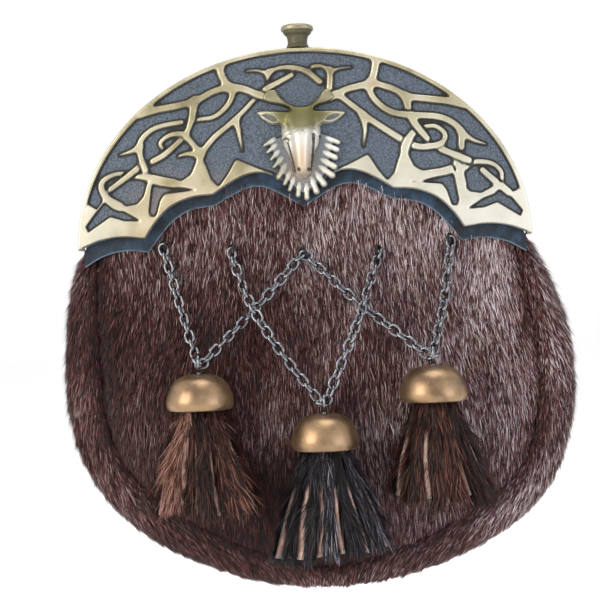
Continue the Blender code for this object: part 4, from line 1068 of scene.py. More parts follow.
def seam_line():
    """The seam from the left corner round the bottom to the right, as x and z."""
    left = [(-out, down) for down, out, _ in SEAM_ROWS]
    right = [(out, down) for down, _, out in SEAM_ROWS[-2::-1]]
    line = smooth_line(left + right, 6)
    z = -line[:, 1] * POUCH_DROP
    return np.stack([line[:, 0] * SEAM_HALF_WIDTH + POUCH_LEAN * smooth_step(line[:, 1] / 0.38), z], 1)


SEAM = seam_line()


# %% Noise, and the skin that grows hair
def vector_noise(points, scale, seed):
    """Smooth noise from -1 to 1 in three channels, as a sum of waves."""
    rng = np.random.default_rng(seed)
    total = np.zeros((len(points), 3))
    for _ in range(7):
        wave = rng.normal(size=(3, 3)) / scale
        total += np.sin(points @ wave + rng.uniform(0, 6.3, 3))
    return total / 3.2


def tangent(direction, normals):
    flat = direction - normals * (direction * normals).sum(1)[:, None]
    return flat / (np.linalg.norm(flat, axis=1)[:, None] + 1e-9)


def growing_skin(name, mesh, keep, flow, pile, shade, density):
    """The part of a hide that grows hair, with the hair's direction, length and shade at each point."""
    made = bpy.data.objects.new(name, mesh.copy())
    bpy.context.scene.collection.objects.link(made)
    for attribute, values in (("pile", pile), ("shade", shade), ("density", density)):
        layer = made.data.attributes.new(attribute, "FLOAT", "POINT")
        layer.data.foreach_set("value", values.astype(np.float32))
    layer = made.data.attributes.new("flow", "FLOAT_VECTOR", "POINT")
    layer.data.foreach_set("vector", flow.astype(np.float32).ravel())
    form = bmesh.new()
    form.from_mesh(made.data)
    form.verts.ensure_lookup_table()
    bmesh.ops.delete(form, geom=[form.verts[k] for k in np.flatnonzero(~keep)], context="VERTS")
    form.to_mesh(made.data)
    form.free()
    return made


# %% [markdown]
# Hair is grown by Geometry Nodes. Points are scattered on the skin, each carries a thin blade that starts
# along the flow and lifts off the hide, and its colour is set by two numbers: the strand's own shade and how
# far along it a point lies. Those two numbers are the strand's UV, so one small palette colours all of it.

# %% Fur as a node tree
def socket(tree, name, kind, default=None):
    item = tree.interface.new_socket(name, in_out="INPUT", socket_type=kind)
    if default is not None:
        item.default_value = default
    return item


def blade_mesh():
    """One hair lock along +X, one unit long and wide, as a kite of two triangles with a slight arch."""
    points = [(0, 0, 0), (0.42, -0.5, 0.05), (0.42, 0.5, 0.05), (1, 0, 0)]
    return from_arrays(
        "blade", points, [(0, 1, 2), (1, 3, 2)], hide_finish, tip=[0, 0.42, 0.42, 1], side=[0.5, 0, 1, 0.5]
    )


def fur_tree():
    tree = bpy.data.node_groups.new("fur", "GeometryNodeTree")
    tree.interface.new_socket("Geometry", in_out="OUTPUT", socket_type="NodeSocketGeometry")
    socket(tree, "Geometry", "NodeSocketGeometry")
    socket(tree, "Blade", "NodeSocketObject")
    socket(tree, "Density", "NodeSocketFloat", 5.0)
    socket(tree, "Length", "NodeSocketFloat", 0.007)
    socket(tree, "Width", "NodeSocketFloat", 0.0005)
    socket(tree, "Lift", "NodeSocketFloat", 0.35)
    socket(tree, "Scatter", "NodeSocketFloat", 0.25)
    socket(tree, "Contrast", "NodeSocketFloat", 0.36)
    socket(tree, "Clumping", "NodeSocketFloat", 0.8)
    socket(tree, "Seed", "NodeSocketInt", 1)
    socket(tree, "Material", "NodeSocketMaterial")
    given = add(tree, "NodeGroupInput").outputs
    named = lambda name, kind="FLOAT": add(
        tree, "GeometryNodeInputNamedAttribute", {"Name": name}, data_type=kind
    ).outputs["Attribute"]
    times = lambda a, b: add(tree, "ShaderNodeMath", {0: a, 1: b}, operation="MULTIPLY").outputs[0]
    plus = lambda a, b: add(tree, "ShaderNodeMath", {0: a, 1: b}, operation="ADD").outputs[0]

    def chance(low, high, shift):
        seed = add(tree, "FunctionNodeIntegerMath", {0: given["Seed"], 1: shift}, operation="ADD").outputs[0]
        return add(
            tree, "FunctionNodeRandomValue", {"Min": low, "Max": high, "Seed": seed}, data_type="FLOAT"
        )

    amount = times(given["Density"], named("density"))
    scattered = add(
        tree, "GeometryNodeDistributePointsOnFaces",
        {"Mesh": given["Geometry"], "Density": amount, "Seed": given["Seed"]},
    )
    value = lambda low, high, shift: [o for o in chance(low, high, shift).outputs if o.enabled][0]
    length = times(times(given["Length"], named("pile")), value(0.65, 1.25, 1))
    width = times(given["Width"], value(0.6, 1.4, 2))
    position = add(tree, "GeometryNodeInputPosition").outputs[0]
    clump = add(tree, "ShaderNodeTexNoise", {"Vector": position, "Scale": 260.0, "Detail": 1.0})
    centred = add(
        tree, "ShaderNodeVectorMath", {0: clump.outputs["Color"], 1: (0.5, 0.5, 0.5)}, operation="SUBTRACT"
    ).outputs[0]
    clumped = add(
        tree, "ShaderNodeVectorMath", {0: centred, "Scale": given["Clumping"]}, operation="SCALE"
    ).outputs[0]
    seed = add(tree, "FunctionNodeIntegerMath", {0: given["Seed"], 1: 3}, operation="ADD").outputs[0]
    jitter_node = add(tree, "FunctionNodeRandomValue", {"Seed": seed}, data_type="FLOAT_VECTOR")
    sockets = [i for i in jitter_node.inputs if i.enabled]
    sockets[0].default_value, sockets[1].default_value = (-1, -1, -1), (1, 1, 1)
    jitter = [o for o in jitter_node.outputs if o.enabled][0]
    jittered = add(
        tree, "ShaderNodeVectorMath", {0: jitter, "Scale": given["Scatter"]}, operation="SCALE"
    ).outputs[0]
    lifted = add(
        tree, "ShaderNodeVectorMath",
        {0: scattered.outputs["Normal"], "Scale": times(given["Lift"], value(0.5, 1.5, 4))},
        operation="SCALE",
    ).outputs[0]
    way = named("flow", "FLOAT_VECTOR")
    for part in (lifted, clumped, jittered):
        way = add(tree, "ShaderNodeVectorMath", {0: way, 1: part}, operation="ADD").outputs[0]
    turn = add(
        tree, "FunctionNodeAxesToRotation",
        {"Primary Axis": way, "Secondary Axis": scattered.outputs["Normal"]}, primary_axis="X",
        secondary_axis="Z",
    )
    size = add(tree, "ShaderNodeCombineXYZ", {"X": length, "Y": width, "Z": length})
    blade = add(tree, "GeometryNodeObjectInfo", {"Object": given["Blade"]})
    placed = add(
        tree, "GeometryNodeInstanceOnPoints",
        {
            "Points": scattered.outputs["Points"], "Instance": blade.outputs["Geometry"],
            "Rotation": turn.outputs["Rotation"], "Scale": size.outputs["Vector"],
        },
    )
    shade = plus(named("shade"), times(given["Contrast"], value(-1.0, 1.0, 5)))
    kept = add(
        tree, "GeometryNodeStoreNamedAttribute",
        {"Geometry": placed.outputs["Instances"], "Name": "strand", "Value": shade}, data_type="FLOAT",
        domain="INSTANCE",
    )
    real = add(tree, "GeometryNodeRealizeInstances", {"Geometry": kept.outputs["Geometry"]})
    across = add(tree, "ShaderNodeClamp", {"Value": named("strand")}).outputs["Result"]
    across = plus(plus(times(across, 0.94), times(named("side"), 0.03)), 0.015)
    palette_place = add(tree, "ShaderNodeCombineXYZ", {"X": across, "Y": named("tip")})
    mapped = add(
        tree, "GeometryNodeStoreNamedAttribute",
        {"Geometry": real.outputs["Geometry"], "Name": "OFBake", "Value": palette_place.outputs["Vector"]},
        data_type="FLOAT2", domain="CORNER",
    )
    coloured = add(
        tree, "GeometryNodeSetMaterial",
        {"Geometry": mapped.outputs["Geometry"], "Material": given["Material"]}
    )
    result = add(tree, "NodeGroupOutput")
    tree.links.new(coloured.outputs["Geometry"], result.inputs["Geometry"])
    return tree


# %% Hair as a material
def hair_finish(name, palette, root_shade, rough=0.5):
    """Hair whose colour is read from its UV: the strand's shade across, and root to tip upwards."""
    made, tree, shader = finish(name, Roughness=rough, Specular_IOR_Level=0.22)
    place = add(tree, "ShaderNodeUVMap", uv_map="OFBake")
    parts = add(tree, "ShaderNodeSeparateXYZ", {"Vector": place.outputs["UV"]})
    strand = add(tree, "ShaderNodeValToRGB", {"Fac": parts.outputs["X"]}, stops=palette)
    # Darker toward the root
    root_darkening = add(
        tree, "ShaderNodeMapRange",
        {"Value": parts.outputs["Y"], "From Max": 0.75, "To Min": root_shade, "To Max": 1.0}
    )
    dark = add(
        tree, "ShaderNodeMix",
        {"Factor": root_darkening.outputs["Result"], "A": linear("#120403"), "B": strand.outputs["Color"]},
        data_type="RGBA",
    )
    tree.links.new(dark.outputs["Result"], shader.inputs["Base Color"])
    return made


brown_fur = hair_finish(
    "brown_fur_strands",
    (
        (0.0, "#0d0302"), (0.20, "#270a08"), (0.38, "#431b19"), (0.54, "#5d3534"), (0.70, "#846768"),
        (0.85, "#b2a0a1"), (1.0, "#ddd3d4"),
    ),
    0.22,
)
FUR = fur_tree()
BLADE = blade_mesh()


def grow_fur(name, skin, material, slot, seed, density, length, width, lift, scatter, contrast, clumping=0.8):
    """A coat of hair on a growing skin. The skin stays."""
    copy = skin.copy()
    copy.data = skin.data.copy()
    bpy.context.scene.collection.objects.link(copy)
    mesh = grown(
        copy, FUR, name, blade=BLADE, density=density, length=length, width=width, lift=lift, scatter=scatter,
        contrast=contrast, clumping=clumping, seed=seed, material=material,
    )
    made = new_object(name, mesh, material)
    return dress(made, slot)


# %% The coats
hide_points, hide_normals = mesh_points(hides["front_panel"].data)
px, _, pz = hide_points.T
seam_away = -outline_distance(px, pz, np.vstack([SEAM, [(84 * MM, 60 * MM), (-84 * MM, 60 * MM)]]))
trim_edge = np.interp(px, TRIM_LINE[:, 0], TRIM_LINE[:, 1])
outside = (hide_normals[:, 1] < -0.05) & (pz < trim_edge + 10 * MM)
uncovered = 1 - smooth_step((pz - trim_edge - 1.0 * MM) / (2.0 * MM))
mottle = vector_noise(hide_points, 16 * MM, 3)
down = np.zeros_like(hide_points) + (0.0, 0, -1.0)
down[:, 0] += 0.10 * mottle[:, 1]
flow = tangent(down, hide_normals)
near_seam = smooth_step(seam_away / (8 * MM))
pile = 0.50 + 0.50 * near_seam
side = np.clip(px / (80 * MM), -1, 1)
blotches = vector_noise(hide_points, 6 * MM, 4)
# Strand shade: random mottle, lighter to the right as painted light, and lighter toward the top
light = 0.33 + 0.10 * mottle[:, 0] + 0.07 * blotches[:, 0] + 0.15 * side
light += 0.15 * smooth_step((pz + 38 * MM) / (40 * MM))
# Painted highlight on the right, low on the front
light += 0.06 * smooth_step((px - 5 * MM) / (30 * MM)) * smooth_step((pz + 115 * MM) / (25 * MM))
# Painted shade low in the middle, where the tassels hang, and along the seam
light -= 0.22 * smooth_step((-70 * MM - pz) / (30 * MM)) * (1 - np.abs(side - 0.05)) + 0.19 * (1 - near_seam)
# Painted shadow between the left and the middle tassel
light -= 0.22 * np.exp(-(((px + 17 * MM) / (13 * MM)) ** 2) - ((pz + 108 * MM) / (20 * MM)) ** 2)
front_skin = growing_skin("front_skin", hides["front_panel"].data, outside, flow, pile, light, uncovered)
grow_fur(
    "front_undercoat", front_skin, brown_fur, "brown_fur", 5, 3.4e6, 5.2 * MM, 0.47 * MM, 0.24, 0.10, 0.32,
    1.1
)
grow_fur(
    "front_guard_hair", front_skin, brown_fur, "brown_fur", 9, 3.6e6, 6.6 * MM, 0.26 * MM, 0.32, 0.13, 0.52,
    1.1
)

# %% The coat of the band
band_points, band_normals = mesh_points(hides["gusset"].data)
bx, _, bz = band_points.T
nearest = ((band_points[:, None, [0, 2]] - SEAM[None, :, :]) ** 2).sum(2).argmin(1)
along = np.gradient(SEAM, axis=0)
along /= np.linalg.norm(along, axis=1)[:, None]
lowest = int(SEAM[:, 1].argmin())
toward = np.where(nearest < lowest, 1.0, -1.0)
toward *= np.clip(np.abs(nearest - lowest) / 12, 0, 1)
band_flow = np.zeros_like(band_points)
band_flow[:, 0] = along[nearest, 0] * toward
band_flow[:, 2] = along[nearest, 1] * toward - 0.45
band_flow[:, 1] = 0.25
offset = band_points[:, [0, 2]] - SEAM[nearest]
centre = np.array([POUCH_LEAN, -40 * MM])
outer_face = ((band_points[:, [0, 2]] - centre) * band_normals[:, [0, 2]]).sum(1) > -0.002
outer_face |= band_normals[:, 1] < -0.6
reach = np.linalg.norm(offset, axis=1)
band_mottle = vector_noise(band_points, 14 * MM, 8)
front_share = smooth_step(reach / (7 * MM))
band_pile = (0.50 + 0.50 * front_share) * (1 - 0.25 * smooth_step((-100 * MM - bz) / (20 * MM)))
# Band shade: random mottle, lighter to the right as painted light, and painted shade beside the seam
band_light = 0.40 + 0.12 * band_mottle[:, 0] + 0.12 * np.clip(bx / (90 * MM), -1, 1) - 0.28 * (
    1 - front_share
)
# Painted shade toward the bottom of the band
band_light -= 0.07 * smooth_step((-95 * MM - bz) / (30 * MM))
band_keep = outer_face & (bz < -1 * MM)
band_skin = growing_skin(
    "band_skin", hides["gusset"].data, band_keep, tangent(band_flow, band_normals), band_pile, band_light,
    np.ones(len(bx)),
)
grow_fur(
    "band_undercoat", band_skin, brown_fur, "brown_fur", 15, 2.7e6, 4.8 * MM, 0.51 * MM, 0.22, 0.10, 0.32, 1.0
)
grow_fur(
    "band_guard_hair", band_skin, brown_fur, "brown_fur", 19, 2.7e6, 6.2 * MM, 0.30 * MM, 0.27, 0.13, 0.48,
    1.0
)

# %% [markdown]
# The chains hang over the fur from wire eyes, pass through the ring above each dome, and cross each other.
# The route is a smooth line through chosen points in front of the hide. A Geometry Nodes tree measures it off
# in pitches and sets a link at each, turned a quarter from the one before.

# %% Chain routes
CHAIN_RADIUS = 2.0 * MM
RING_WIRE = 0.6 * MM
RING_ROOM = 0.7 * MM
CAD_GAP = 0.3 * MM
ChainPoint = namedtuple("ChainPoint", "x z lie ring")
OUTER_ROUTE = (
    ChainPoint(-0.0570, -0.0010, 0.0040, True),
    ChainPoint(-0.0508, -0.0230, 0.0080, False),
    ChainPoint(-0.0433, -0.0463, 0.0145, True),
    ChainPoint(-0.0210, -0.0263, 0.0072, False),
    ChainPoint(-0.0010, -0.0062, 0.0042, True),
    ChainPoint(0.0215, -0.0265, 0.0072, False),
    ChainPoint(0.0475, -0.0463, 0.0145, True),
    ChainPoint(0.0546, -0.0230, 0.0080, False),
    ChainPoint(0.0584, -0.0022, 0.0040, True),
)
INNER_ROUTE = (
    ChainPoint(-0.0296, -0.0036, 0.0040, True),
    ChainPoint(-0.0262, -0.0150, 0.0075, False),
    ChainPoint(-0.0212, -0.0265, 0.0125, False),
    ChainPoint(-0.0120, -0.0420, 0.0130, False),
    ChainPoint(0.0047, -0.0632, 0.0145, True),
    ChainPoint(0.0150, -0.0420, 0.0130, False),
    ChainPoint(0.0215, -0.0265, 0.0125, False),
    ChainPoint(0.0255, -0.0160, 0.0075, False),
    ChainPoint(0.0292, -0.0060, 0.0040, True),
)
form = bmesh.new()
form.from_mesh(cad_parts["front_panel"].data)
HIDE_FACE = BVHTree.FromBMesh(form)
form.free()


# %% Places along a chain
def place_on(route, index):
    point = route[index]
    hit = HIDE_FACE.ray_cast(Vector((point.x, -1, point.z)), Vector((0, 1, 0)))[0]
    return Vector((point.x, hit.y - point.lie, point.z))


def chain_line(route):
    """A route's smooth line in front of the hide. It breaks sharply at each ring that it passes through."""
    line, stretch = [], []
    for k, point in enumerate(route):
        place = place_on(route, k)
        if point.ring and 0 < k < len(route) - 1:
            place.z += math.copysign(CHAIN_RADIUS * 0.8, place.z - place_on(route, k - 1).z)
        stretch.append(tuple(place))
        if point.ring and k:
            line += smooth_line(stretch, 12).tolist()[:-1]
            stretch = stretch[-1:]
    return line + stretch


def polyline(name, points):
    mesh = bpy.data.meshes.new(name)
    mesh.from_pydata([tuple(map(float, p)) for p in points], [(k, k + 1) for k in range(len(points) - 1)], [])
    made = bpy.data.objects.new(name, mesh)
    bpy.context.scene.collection.objects.link(made)
    return made


# %% Repeats along a line as a node tree
def row_tree():
    """Copies of a piece at an even pitch along a line, each turned about it from the one before."""
    tree = bpy.data.node_groups.new("row", "GeometryNodeTree")
    tree.interface.new_socket("Geometry", in_out="OUTPUT", socket_type="NodeSocketGeometry")
    socket(tree, "Geometry", "NodeSocketGeometry")
    socket(tree, "Piece", "NodeSocketObject")
    socket(tree, "Pitch", "NodeSocketFloat", 0.004)
    socket(tree, "Quarter", "NodeSocketFloat", 0.0)
    socket(tree, "Twist", "NodeSocketFloat", 0.0)
    socket(tree, "Unevenness", "NodeSocketFloat", 0.0)
    socket(tree, "Seed", "NodeSocketInt", 1)
    socket(tree, "Material", "NodeSocketMaterial")
    given = add(tree, "NodeGroupInput").outputs
    line = add(tree, "GeometryNodeMeshToCurve", {"Mesh": given["Geometry"]})
    spaced = add(
        tree, "GeometryNodeResampleCurve", {"Curve": line.outputs["Curve"], "Length": given["Pitch"]},
        mode="LENGTH"
    )
    tangent_node = add(tree, "GeometryNodeInputTangent")
    turn = add(
        tree, "FunctionNodeAxesToRotation",
        {"Primary Axis": tangent_node.outputs["Tangent"], "Secondary Axis": (0.0, -1.0, 0.0)},
        primary_axis="X", secondary_axis="Z",
    )
    index = add(tree, "GeometryNodeInputIndex").outputs[0]
    step = add(tree, "ShaderNodeMath", {0: index, 1: given["Quarter"]}, operation="MULTIPLY").outputs[0]
    shake_node = add(
        tree, "FunctionNodeRandomValue", {"Min": -1.0, "Max": 1.0, "Seed": given["Seed"]}, data_type="FLOAT"
    )
    shake = [o for o in shake_node.outputs if o.enabled][0]
    angle = add(
        tree, "ShaderNodeMath", {0: shake, 1: given["Unevenness"], 2: step}, operation="MULTIPLY_ADD"
    ).outputs[0]
    angle = add(tree, "ShaderNodeMath", {0: angle, 1: given["Twist"]}, operation="ADD").outputs[0]
    roll = add(tree, "FunctionNodeAxisAngleToRotation", {"Axis": (1.0, 0.0, 0.0), "Angle": angle})
    turned_on = add(
        tree, "FunctionNodeRotateRotation",
        {"Rotation": turn.outputs["Rotation"], "Rotate By": roll.outputs["Rotation"]}, rotation_space="LOCAL",
    )
    piece = add(tree, "GeometryNodeObjectInfo", {"Object": given["Piece"]})
    placed = add(
        tree, "GeometryNodeInstanceOnPoints",
        {
            "Points": spaced.outputs["Curve"], "Instance": piece.outputs["Geometry"],
            "Rotation": turned_on.outputs["Rotation"],
        },
    )
    real = add(tree, "GeometryNodeRealizeInstances", {"Geometry": placed.outputs["Instances"]})
    coloured = add(
        tree, "GeometryNodeSetMaterial", {"Geometry": real.outputs["Geometry"], "Material": given["Material"]}
    )
    result = add(tree, "NodeGroupOutput")
    tree.links.new(coloured.outputs["Geometry"], result.inputs["Geometry"])
    return tree


# %% Rods and links
def swept(points, radius, sides, closed):
    """Points and faces of a round rod along a line, which closes on itself or is capped."""
    points = [Vector(p) for p in points]
    count = len(points)
    made, faces = [], []
    side = None
    for k, point in enumerate(points):
        before = points[k - 1] if k or closed else point
        after = points[(k + 1) % count] if k < count - 1 or closed else point
        way = (after - before).normalized()
        side = (side or way.orthogonal()) - way * (side or way.orthogonal()).dot(way)
        side.normalize()
        other = way.cross(side)
        for j in range(sides):
            angle = 2 * math.pi * j / sides
            made.append(tuple(point + (side * math.cos(angle) + other * math.sin(angle)) * radius))
    for k in range(count if closed else count - 1):
        one, following = k * sides, (k + 1) % count * sides
        for j in range(sides):
            faces.append((one + j, one + (j + 1) % sides, following + (j + 1) % sides, following + j))
    if not closed:
        faces += [tuple(reversed(range(sides))), tuple(range((count - 1) * sides, count * sides))]
    return made, faces


def merged(*bodies):
    """Several bodies as one list of points and one of faces."""
    points, faces = [], []
    for more_points, more_faces in bodies:
        faces += [tuple(index + len(points) for index in face) for face in more_faces]
        points += more_points
    return points, faces


def stadium(length, width, steps):
    half, bend = (length - width) / 2, width / 2
    line = []
    for sign in (1, -1):
        for k in range(steps + 1):
            angle = math.pi * k / steps - math.pi / 2
            line.append((sign * (half + bend * math.cos(angle)), sign * bend * math.sin(angle), 0))
    return line


# %% The chains
LINK_LENGTH, LINK_WIDTH, LINK_WIRE, LINK_PITCH = 6.2 * MM, 4.6 * MM, 1.15 * MM, 3.85 * MM
ROW = row_tree()
link_line = stadium(LINK_LENGTH - LINK_WIRE, LINK_WIDTH - LINK_WIRE, 6)
link = from_arrays("link", *swept(link_line, LINK_WIRE / 2, 7, True), gunmetal)
for name, route, seed in (("outer", OUTER_ROUTE, 2), ("inner", INNER_ROUTE, 7)):
    line = polyline(name, chain_line(route))
    mesh = grown(
        line, ROW, "links_" + name, piece=link, pitch=LINK_PITCH, quarter=math.pi / 2, twist=0.35,
        unevenness=0.30, seed=seed, material=gunmetal,
    )
    dress(new_object("links_" + name, mesh, gunmetal), "gunmetal_steel", "chain_" + name)
bpy.data.objects.remove(link, do_unlink=True)

# %% [markdown]
# Each chain end and the outer chain's top bend sit in a wire eye on the hide, and a ring with a post and
# washer carries each dome.

# %% Eyelets and bails
def wire_ring(centre, axis, middle, wire, steps=28):
    turn = axis.to_track_quat("Z", "Y").to_matrix()
    angles = [2 * math.pi * k / steps for k in range(steps)]
    return swept(
        [centre + turn @ Vector((math.cos(a), math.sin(a), 0)) * middle for a in angles], wire, 8, True
    )


RING_MIDDLE = CHAIN_RADIUS + RING_ROOM + RING_WIRE
STUB_RADIUS = 0.9 * MM
EYELETS = (
    ("outer_left", OUTER_ROUTE, 0), ("centre", OUTER_ROUTE, 4), ("outer_right", OUTER_ROUTE, 8),
    ("inner_left", INNER_ROUTE, 0), ("inner_right", INNER_ROUTE, 8),
)
EYE_MIDDLE = 1.9 * MM
for name, route, index in EYELETS:
    place = place_on(route, index)
    swing = 0.6 if place.x < 0 else -0.6
    axis = Vector((math.cos(swing), math.sin(swing), 0.15)).normalized()
    centre = place + Vector((0, 0.6 * MM, 1.3 * MM))
    inward = (Vector((0, 1, 0)) - axis * axis.y).normalized()
    start = centre + inward * EYE_MIDDLE
    surface = HIDE_FACE.ray_cast(Vector((start.x, -1, start.z)), Vector((0, 1, 0)))[0].y - CAD_GAP
    bodies = [wire_ring(centre, axis, EYE_MIDDLE, RING_WIRE)]
    if surface - start.y > 2 * CAD_GAP:
        foot = Vector((start.x, surface, start.z))
        bodies.append(swept([start - inward * RING_WIRE * 0.3, foot], RING_WIRE, 12, False))
    # The eyes take the near-black steel, partly painted shade of their holes
    dress(from_arrays("eye_" + name, *merged(*bodies), near_black), "gunmetal_steel", "eyelet_" + name)

# %% Bails for the tassels
Tassel = namedtuple("Tassel", "name route point length half_width sway edges tones hair lean lit seed")
TASSELS = (
    Tassel(
        "left", OUTER_ROUTE, 2, 50.0 * MM, 18.6 * MM, 1.6 * MM, (-0.95, -0.42, -0.16, 0.28, 0.92),
        (0.35, 0.50, 0.30, 0.40, 0.55), "chestnut", 0.25, 0.40, 3,
    ),
    Tassel(
        "middle", INNER_ROUTE, 4, 50.5 * MM, 21.8 * MM, 1.2 * MM, (-0.90, -0.52, -0.16, 0.20, 0.58, 0.93),
        (0.65, 0.95, 0.80, 0.95, 0.80, 0.40), "black", 0.40, -0.10, 5,
    ),
    Tassel(
        "right", OUTER_ROUTE, 6, 49.0 * MM, 19.0 * MM, 2.6 * MM, (-0.92, -0.34, 0.04, 0.46, 0.88),
        (0.12, 1.00, 0.08, 0.12, 0.08), "chestnut", 0.21, -0.04, 8,
    ),
)
RING_REACH = CHAIN_RADIUS + RING_ROOM + 2 * RING_WIRE
WASHER_RADIUS = 3.6 * MM
WASHER_THICKNESS = 1.2 * MM
tassel_tops = {}
for tassel in TASSELS:
    hang = place_on(tassel.route, tassel.point)
    roof = Vector((hang.x, hang.y, hang.z - RING_REACH - DOME_WALL - 2 * CAD_GAP))
    washer_foot = roof - Vector((0, 0, WASHER_THICKNESS))
    post_top = hang - Vector((0, 0, RING_REACH - RING_WIRE))
    bodies = (
        wire_ring(hang, Vector((1, 0, 0)), RING_MIDDLE, RING_WIRE),
        swept([post_top, (roof + washer_foot) / 2], STUB_RADIUS, 12, False),
        swept([roof, washer_foot], WASHER_RADIUS, 24, False),
    )
    dress(
        from_arrays("hanger_" + tassel.name, *merged(*bodies), gunmetal), "gunmetal_steel",
        "bail_" + tassel.name
    )
    tassel_tops[tassel.name] = washer_foot - Vector((0, 0, CAD_GAP))

# %% [markdown]
# A tassel is a skirt of furred suede strips. Round the skirt each strip lies like a shingle: it starts under
# its neighbour and its far edge stands out, so the pale cut edge shows as a line. The strips end square, at
# lengths of their own.

# %% Suede and tassel hair
suede, tree, shader = finish("cut_suede", Roughness=0.95, Sheen_Weight=0.35)
cut_face = add(tree, "ShaderNodeAttribute", attribute_name="cut").outputs["Fac"]
coords = add(tree, "ShaderNodeTexCoord").outputs["Object"]
nap = add(tree, "ShaderNodeTexNoise", {"Vector": coords, "Scale": 1 / (2.5 * MM), "Detail": 3.0})
flesh = add(
    tree, "ShaderNodeValToRGB", {"Fac": nap.outputs["Fac"]}, stops=((0.35, "#35170f"), (0.65, "#57291e"))
)
pale = add(
    tree, "ShaderNodeValToRGB", {"Fac": nap.outputs["Fac"]}, stops=((0.35, "#84695e"), (0.65, "#b59a8d"))
)
both = add(
    tree, "ShaderNodeMix", {"Factor": cut_face, "A": flesh.outputs["Color"], "B": pale.outputs["Color"]},
    data_type="RGBA"
)
tree.links.new(both.outputs["Result"], shader.inputs["Base Color"])
HAIRS = {
    "chestnut": hair_finish(
        "chestnut_hair",
        ((0.0, "#0b0504"), (0.25, "#20100c"), (0.45, "#3c211b"), (0.68, "#6e4034"), (1.0, "#b98c7c")), 0.35
    ),
    "black": hair_finish(
        "blue_black_hair",
        ((0.0, "#050405"), (0.35, "#120f12"), (0.6, "#231f26"), (0.82, "#47454f"), (1.0, "#a6a6b2")), 0.35
    ),
}

# %% The skirt of strips
SKIRT_ROWS = ((0.00, 0.00), (0.25, 0.20), (0.45, 0.42), (0.72, 0.74), (1.00, 1.00))
HEAD_RADIUS = 5.9 * MM
SKIRT_DEPTH = 11.5 * MM
SHINGLE = 2.1 * MM
BACK_STRIPS = 5


def strip_angles(tassel):
    """Where one strip ends and the next starts, round the skirt from its left side over the front."""
    front = [2 * math.pi - math.acos(edge) for edge in tassel.edges]
    back = [front[-1] + (front[0] + 2 * math.pi - front[-1]) * k / BACK_STRIPS for k in range(1, BACK_STRIPS)]
    return front + back


def skirt(tassel, top):
    """The skirt's points ring by ring, with how pale and bare each is, and its hair's length and shade."""
    rng = np.random.default_rng(tassel.seed)
    starts = strip_angles(tassel)
    furred = 0.78 if tassel.hair == "black" else 0.87
    shares = (0.0, 0.25, 0.5, furred - 0.005, furred, 0.905, 1.0, 1.0)
    lifts = (0.0, 0.30, 0.55, 0.86, 0.87, 0.95, 1.0, 0.45)
    downs = np.linspace(0, 1, 22)
    spreads = np.interp(downs, *zip(*SKIRT_ROWS))
    points, cut, bare, pile, shade = [], [], [], [], []
    lengths = 1 + rng.uniform(-0.07, 0.03, len(starts))
    slants = rng.uniform(-0.03, 0.03, len(starts))
    tones = rng.uniform(-0.12, 0.12, len(starts))
    tones[0] += tassel.lit
    pale = list(tassel.tones[1:]) + [0.4] * len(starts)
    for down, spread in zip(downs, spreads):
        wide = HEAD_RADIUS + (tassel.half_width - HEAD_RADIUS) * spread
        deep = HEAD_RADIUS + (SKIRT_DEPTH - HEAD_RADIUS) * spread
        for k, start in enumerate(starts):
            end = starts[k + 1] if k + 1 < len(starts) else starts[0] + 2 * math.pi
            wave = 0.035 * math.sin(8 * down + 2.3 * k) * down
            for share, lift in zip(shares, lifts):
                angle = start + (end - start) * share + wave
                bow = 0.25 * SHINGLE * math.sin(math.pi * share)
                out = (SHINGLE * lift + bow) * (0.35 + 0.65 * down) - 0.5 * SHINGLE
                x = (wide + out) * math.cos(angle) + tassel.sway * down**2
                y = (deep + out) * math.sin(angle)
                drop = down * (lengths[k] + slants[k] * (share - 0.5) * 2 * down)
                points.append(top + Vector((x, y, -drop * tassel.length)))
                shown = smooth_step((down - 0.30) / 0.25)
                cut.append(pale[k] * shown if share > 0.9 else 0.0)
                bare.append(1.0 if share >= furred and shown > 0.3 else 0.0)
                pile.append(
                    0.60 + 0.40 * smooth_step((down - 0.2) / 0.3) - 0.55 * smooth_step((down - 0.84) / 0.14)
                )
                # Painted shade where each strip starts under its neighbour
                shade.append(tassel.lean + tones[k] - 0.14 * smooth_step(1 - abs(share - 0.05) / 0.15))
    return points, cut, bare, pile, shade, len(starts) * len(shares), len(downs)


# %% A tassel's body and its growing skin
def tassel_body(tassel):
    top = tassel_tops[tassel.name]
    points, cut, bare, pile, shade, count, rings = skirt(tassel, top)
    faces = []
    for ring in range(rings - 1):
        for k in range(count):
            one, other = ring * count, (ring + 1) * count
            following = (k + 1) % count
            faces.append((one + k, other + k, other + following, one + following))
    last = (rings - 1) * count
    inner = [top + (points[last + k] - top) * 0.80 for k in range(count)]
    faces += [
        (last + k, rings * count + k, rings * count + (k + 1) % count, last + (k + 1) % count)
        for k in range(count)
    ]
    points += inner
    faces.append(tuple(range(count)))
    centre = len(points)
    points.append(top + Vector((tassel.sway * 0.5, 0, -0.5 * tassel.length)))
    faces += [(rings * count + k, centre, rings * count + (k + 1) % count) for k in range(count)]
    extra = count + 1
    made = from_arrays(
        "skirt_" + tassel.name, [tuple(p) for p in points], faces, suede, cut=cut + [0.25] * count + [0]
    )
    flow = np.zeros((len(points), 3))
    places = np.array([tuple(p) for p in points])
    body = places[: rings * count].reshape(rings, count, 3)
    way = np.gradient(body, axis=0).reshape(-1, 3)
    flow[: rings * count] = way / np.linalg.norm(way, axis=1)[:, None]
    keep = np.ones(len(points), bool)
    keep[rings * count :] = False
    keep[: 4 * count] = False
    density = 1.0 - np.array(bare + [0] * extra)
    skin = growing_skin(
        "skirt_skin", made.data, keep, flow, np.array(pile + [0] * extra), np.array(shade + [0] * extra),
        density
    )
    return made, skin


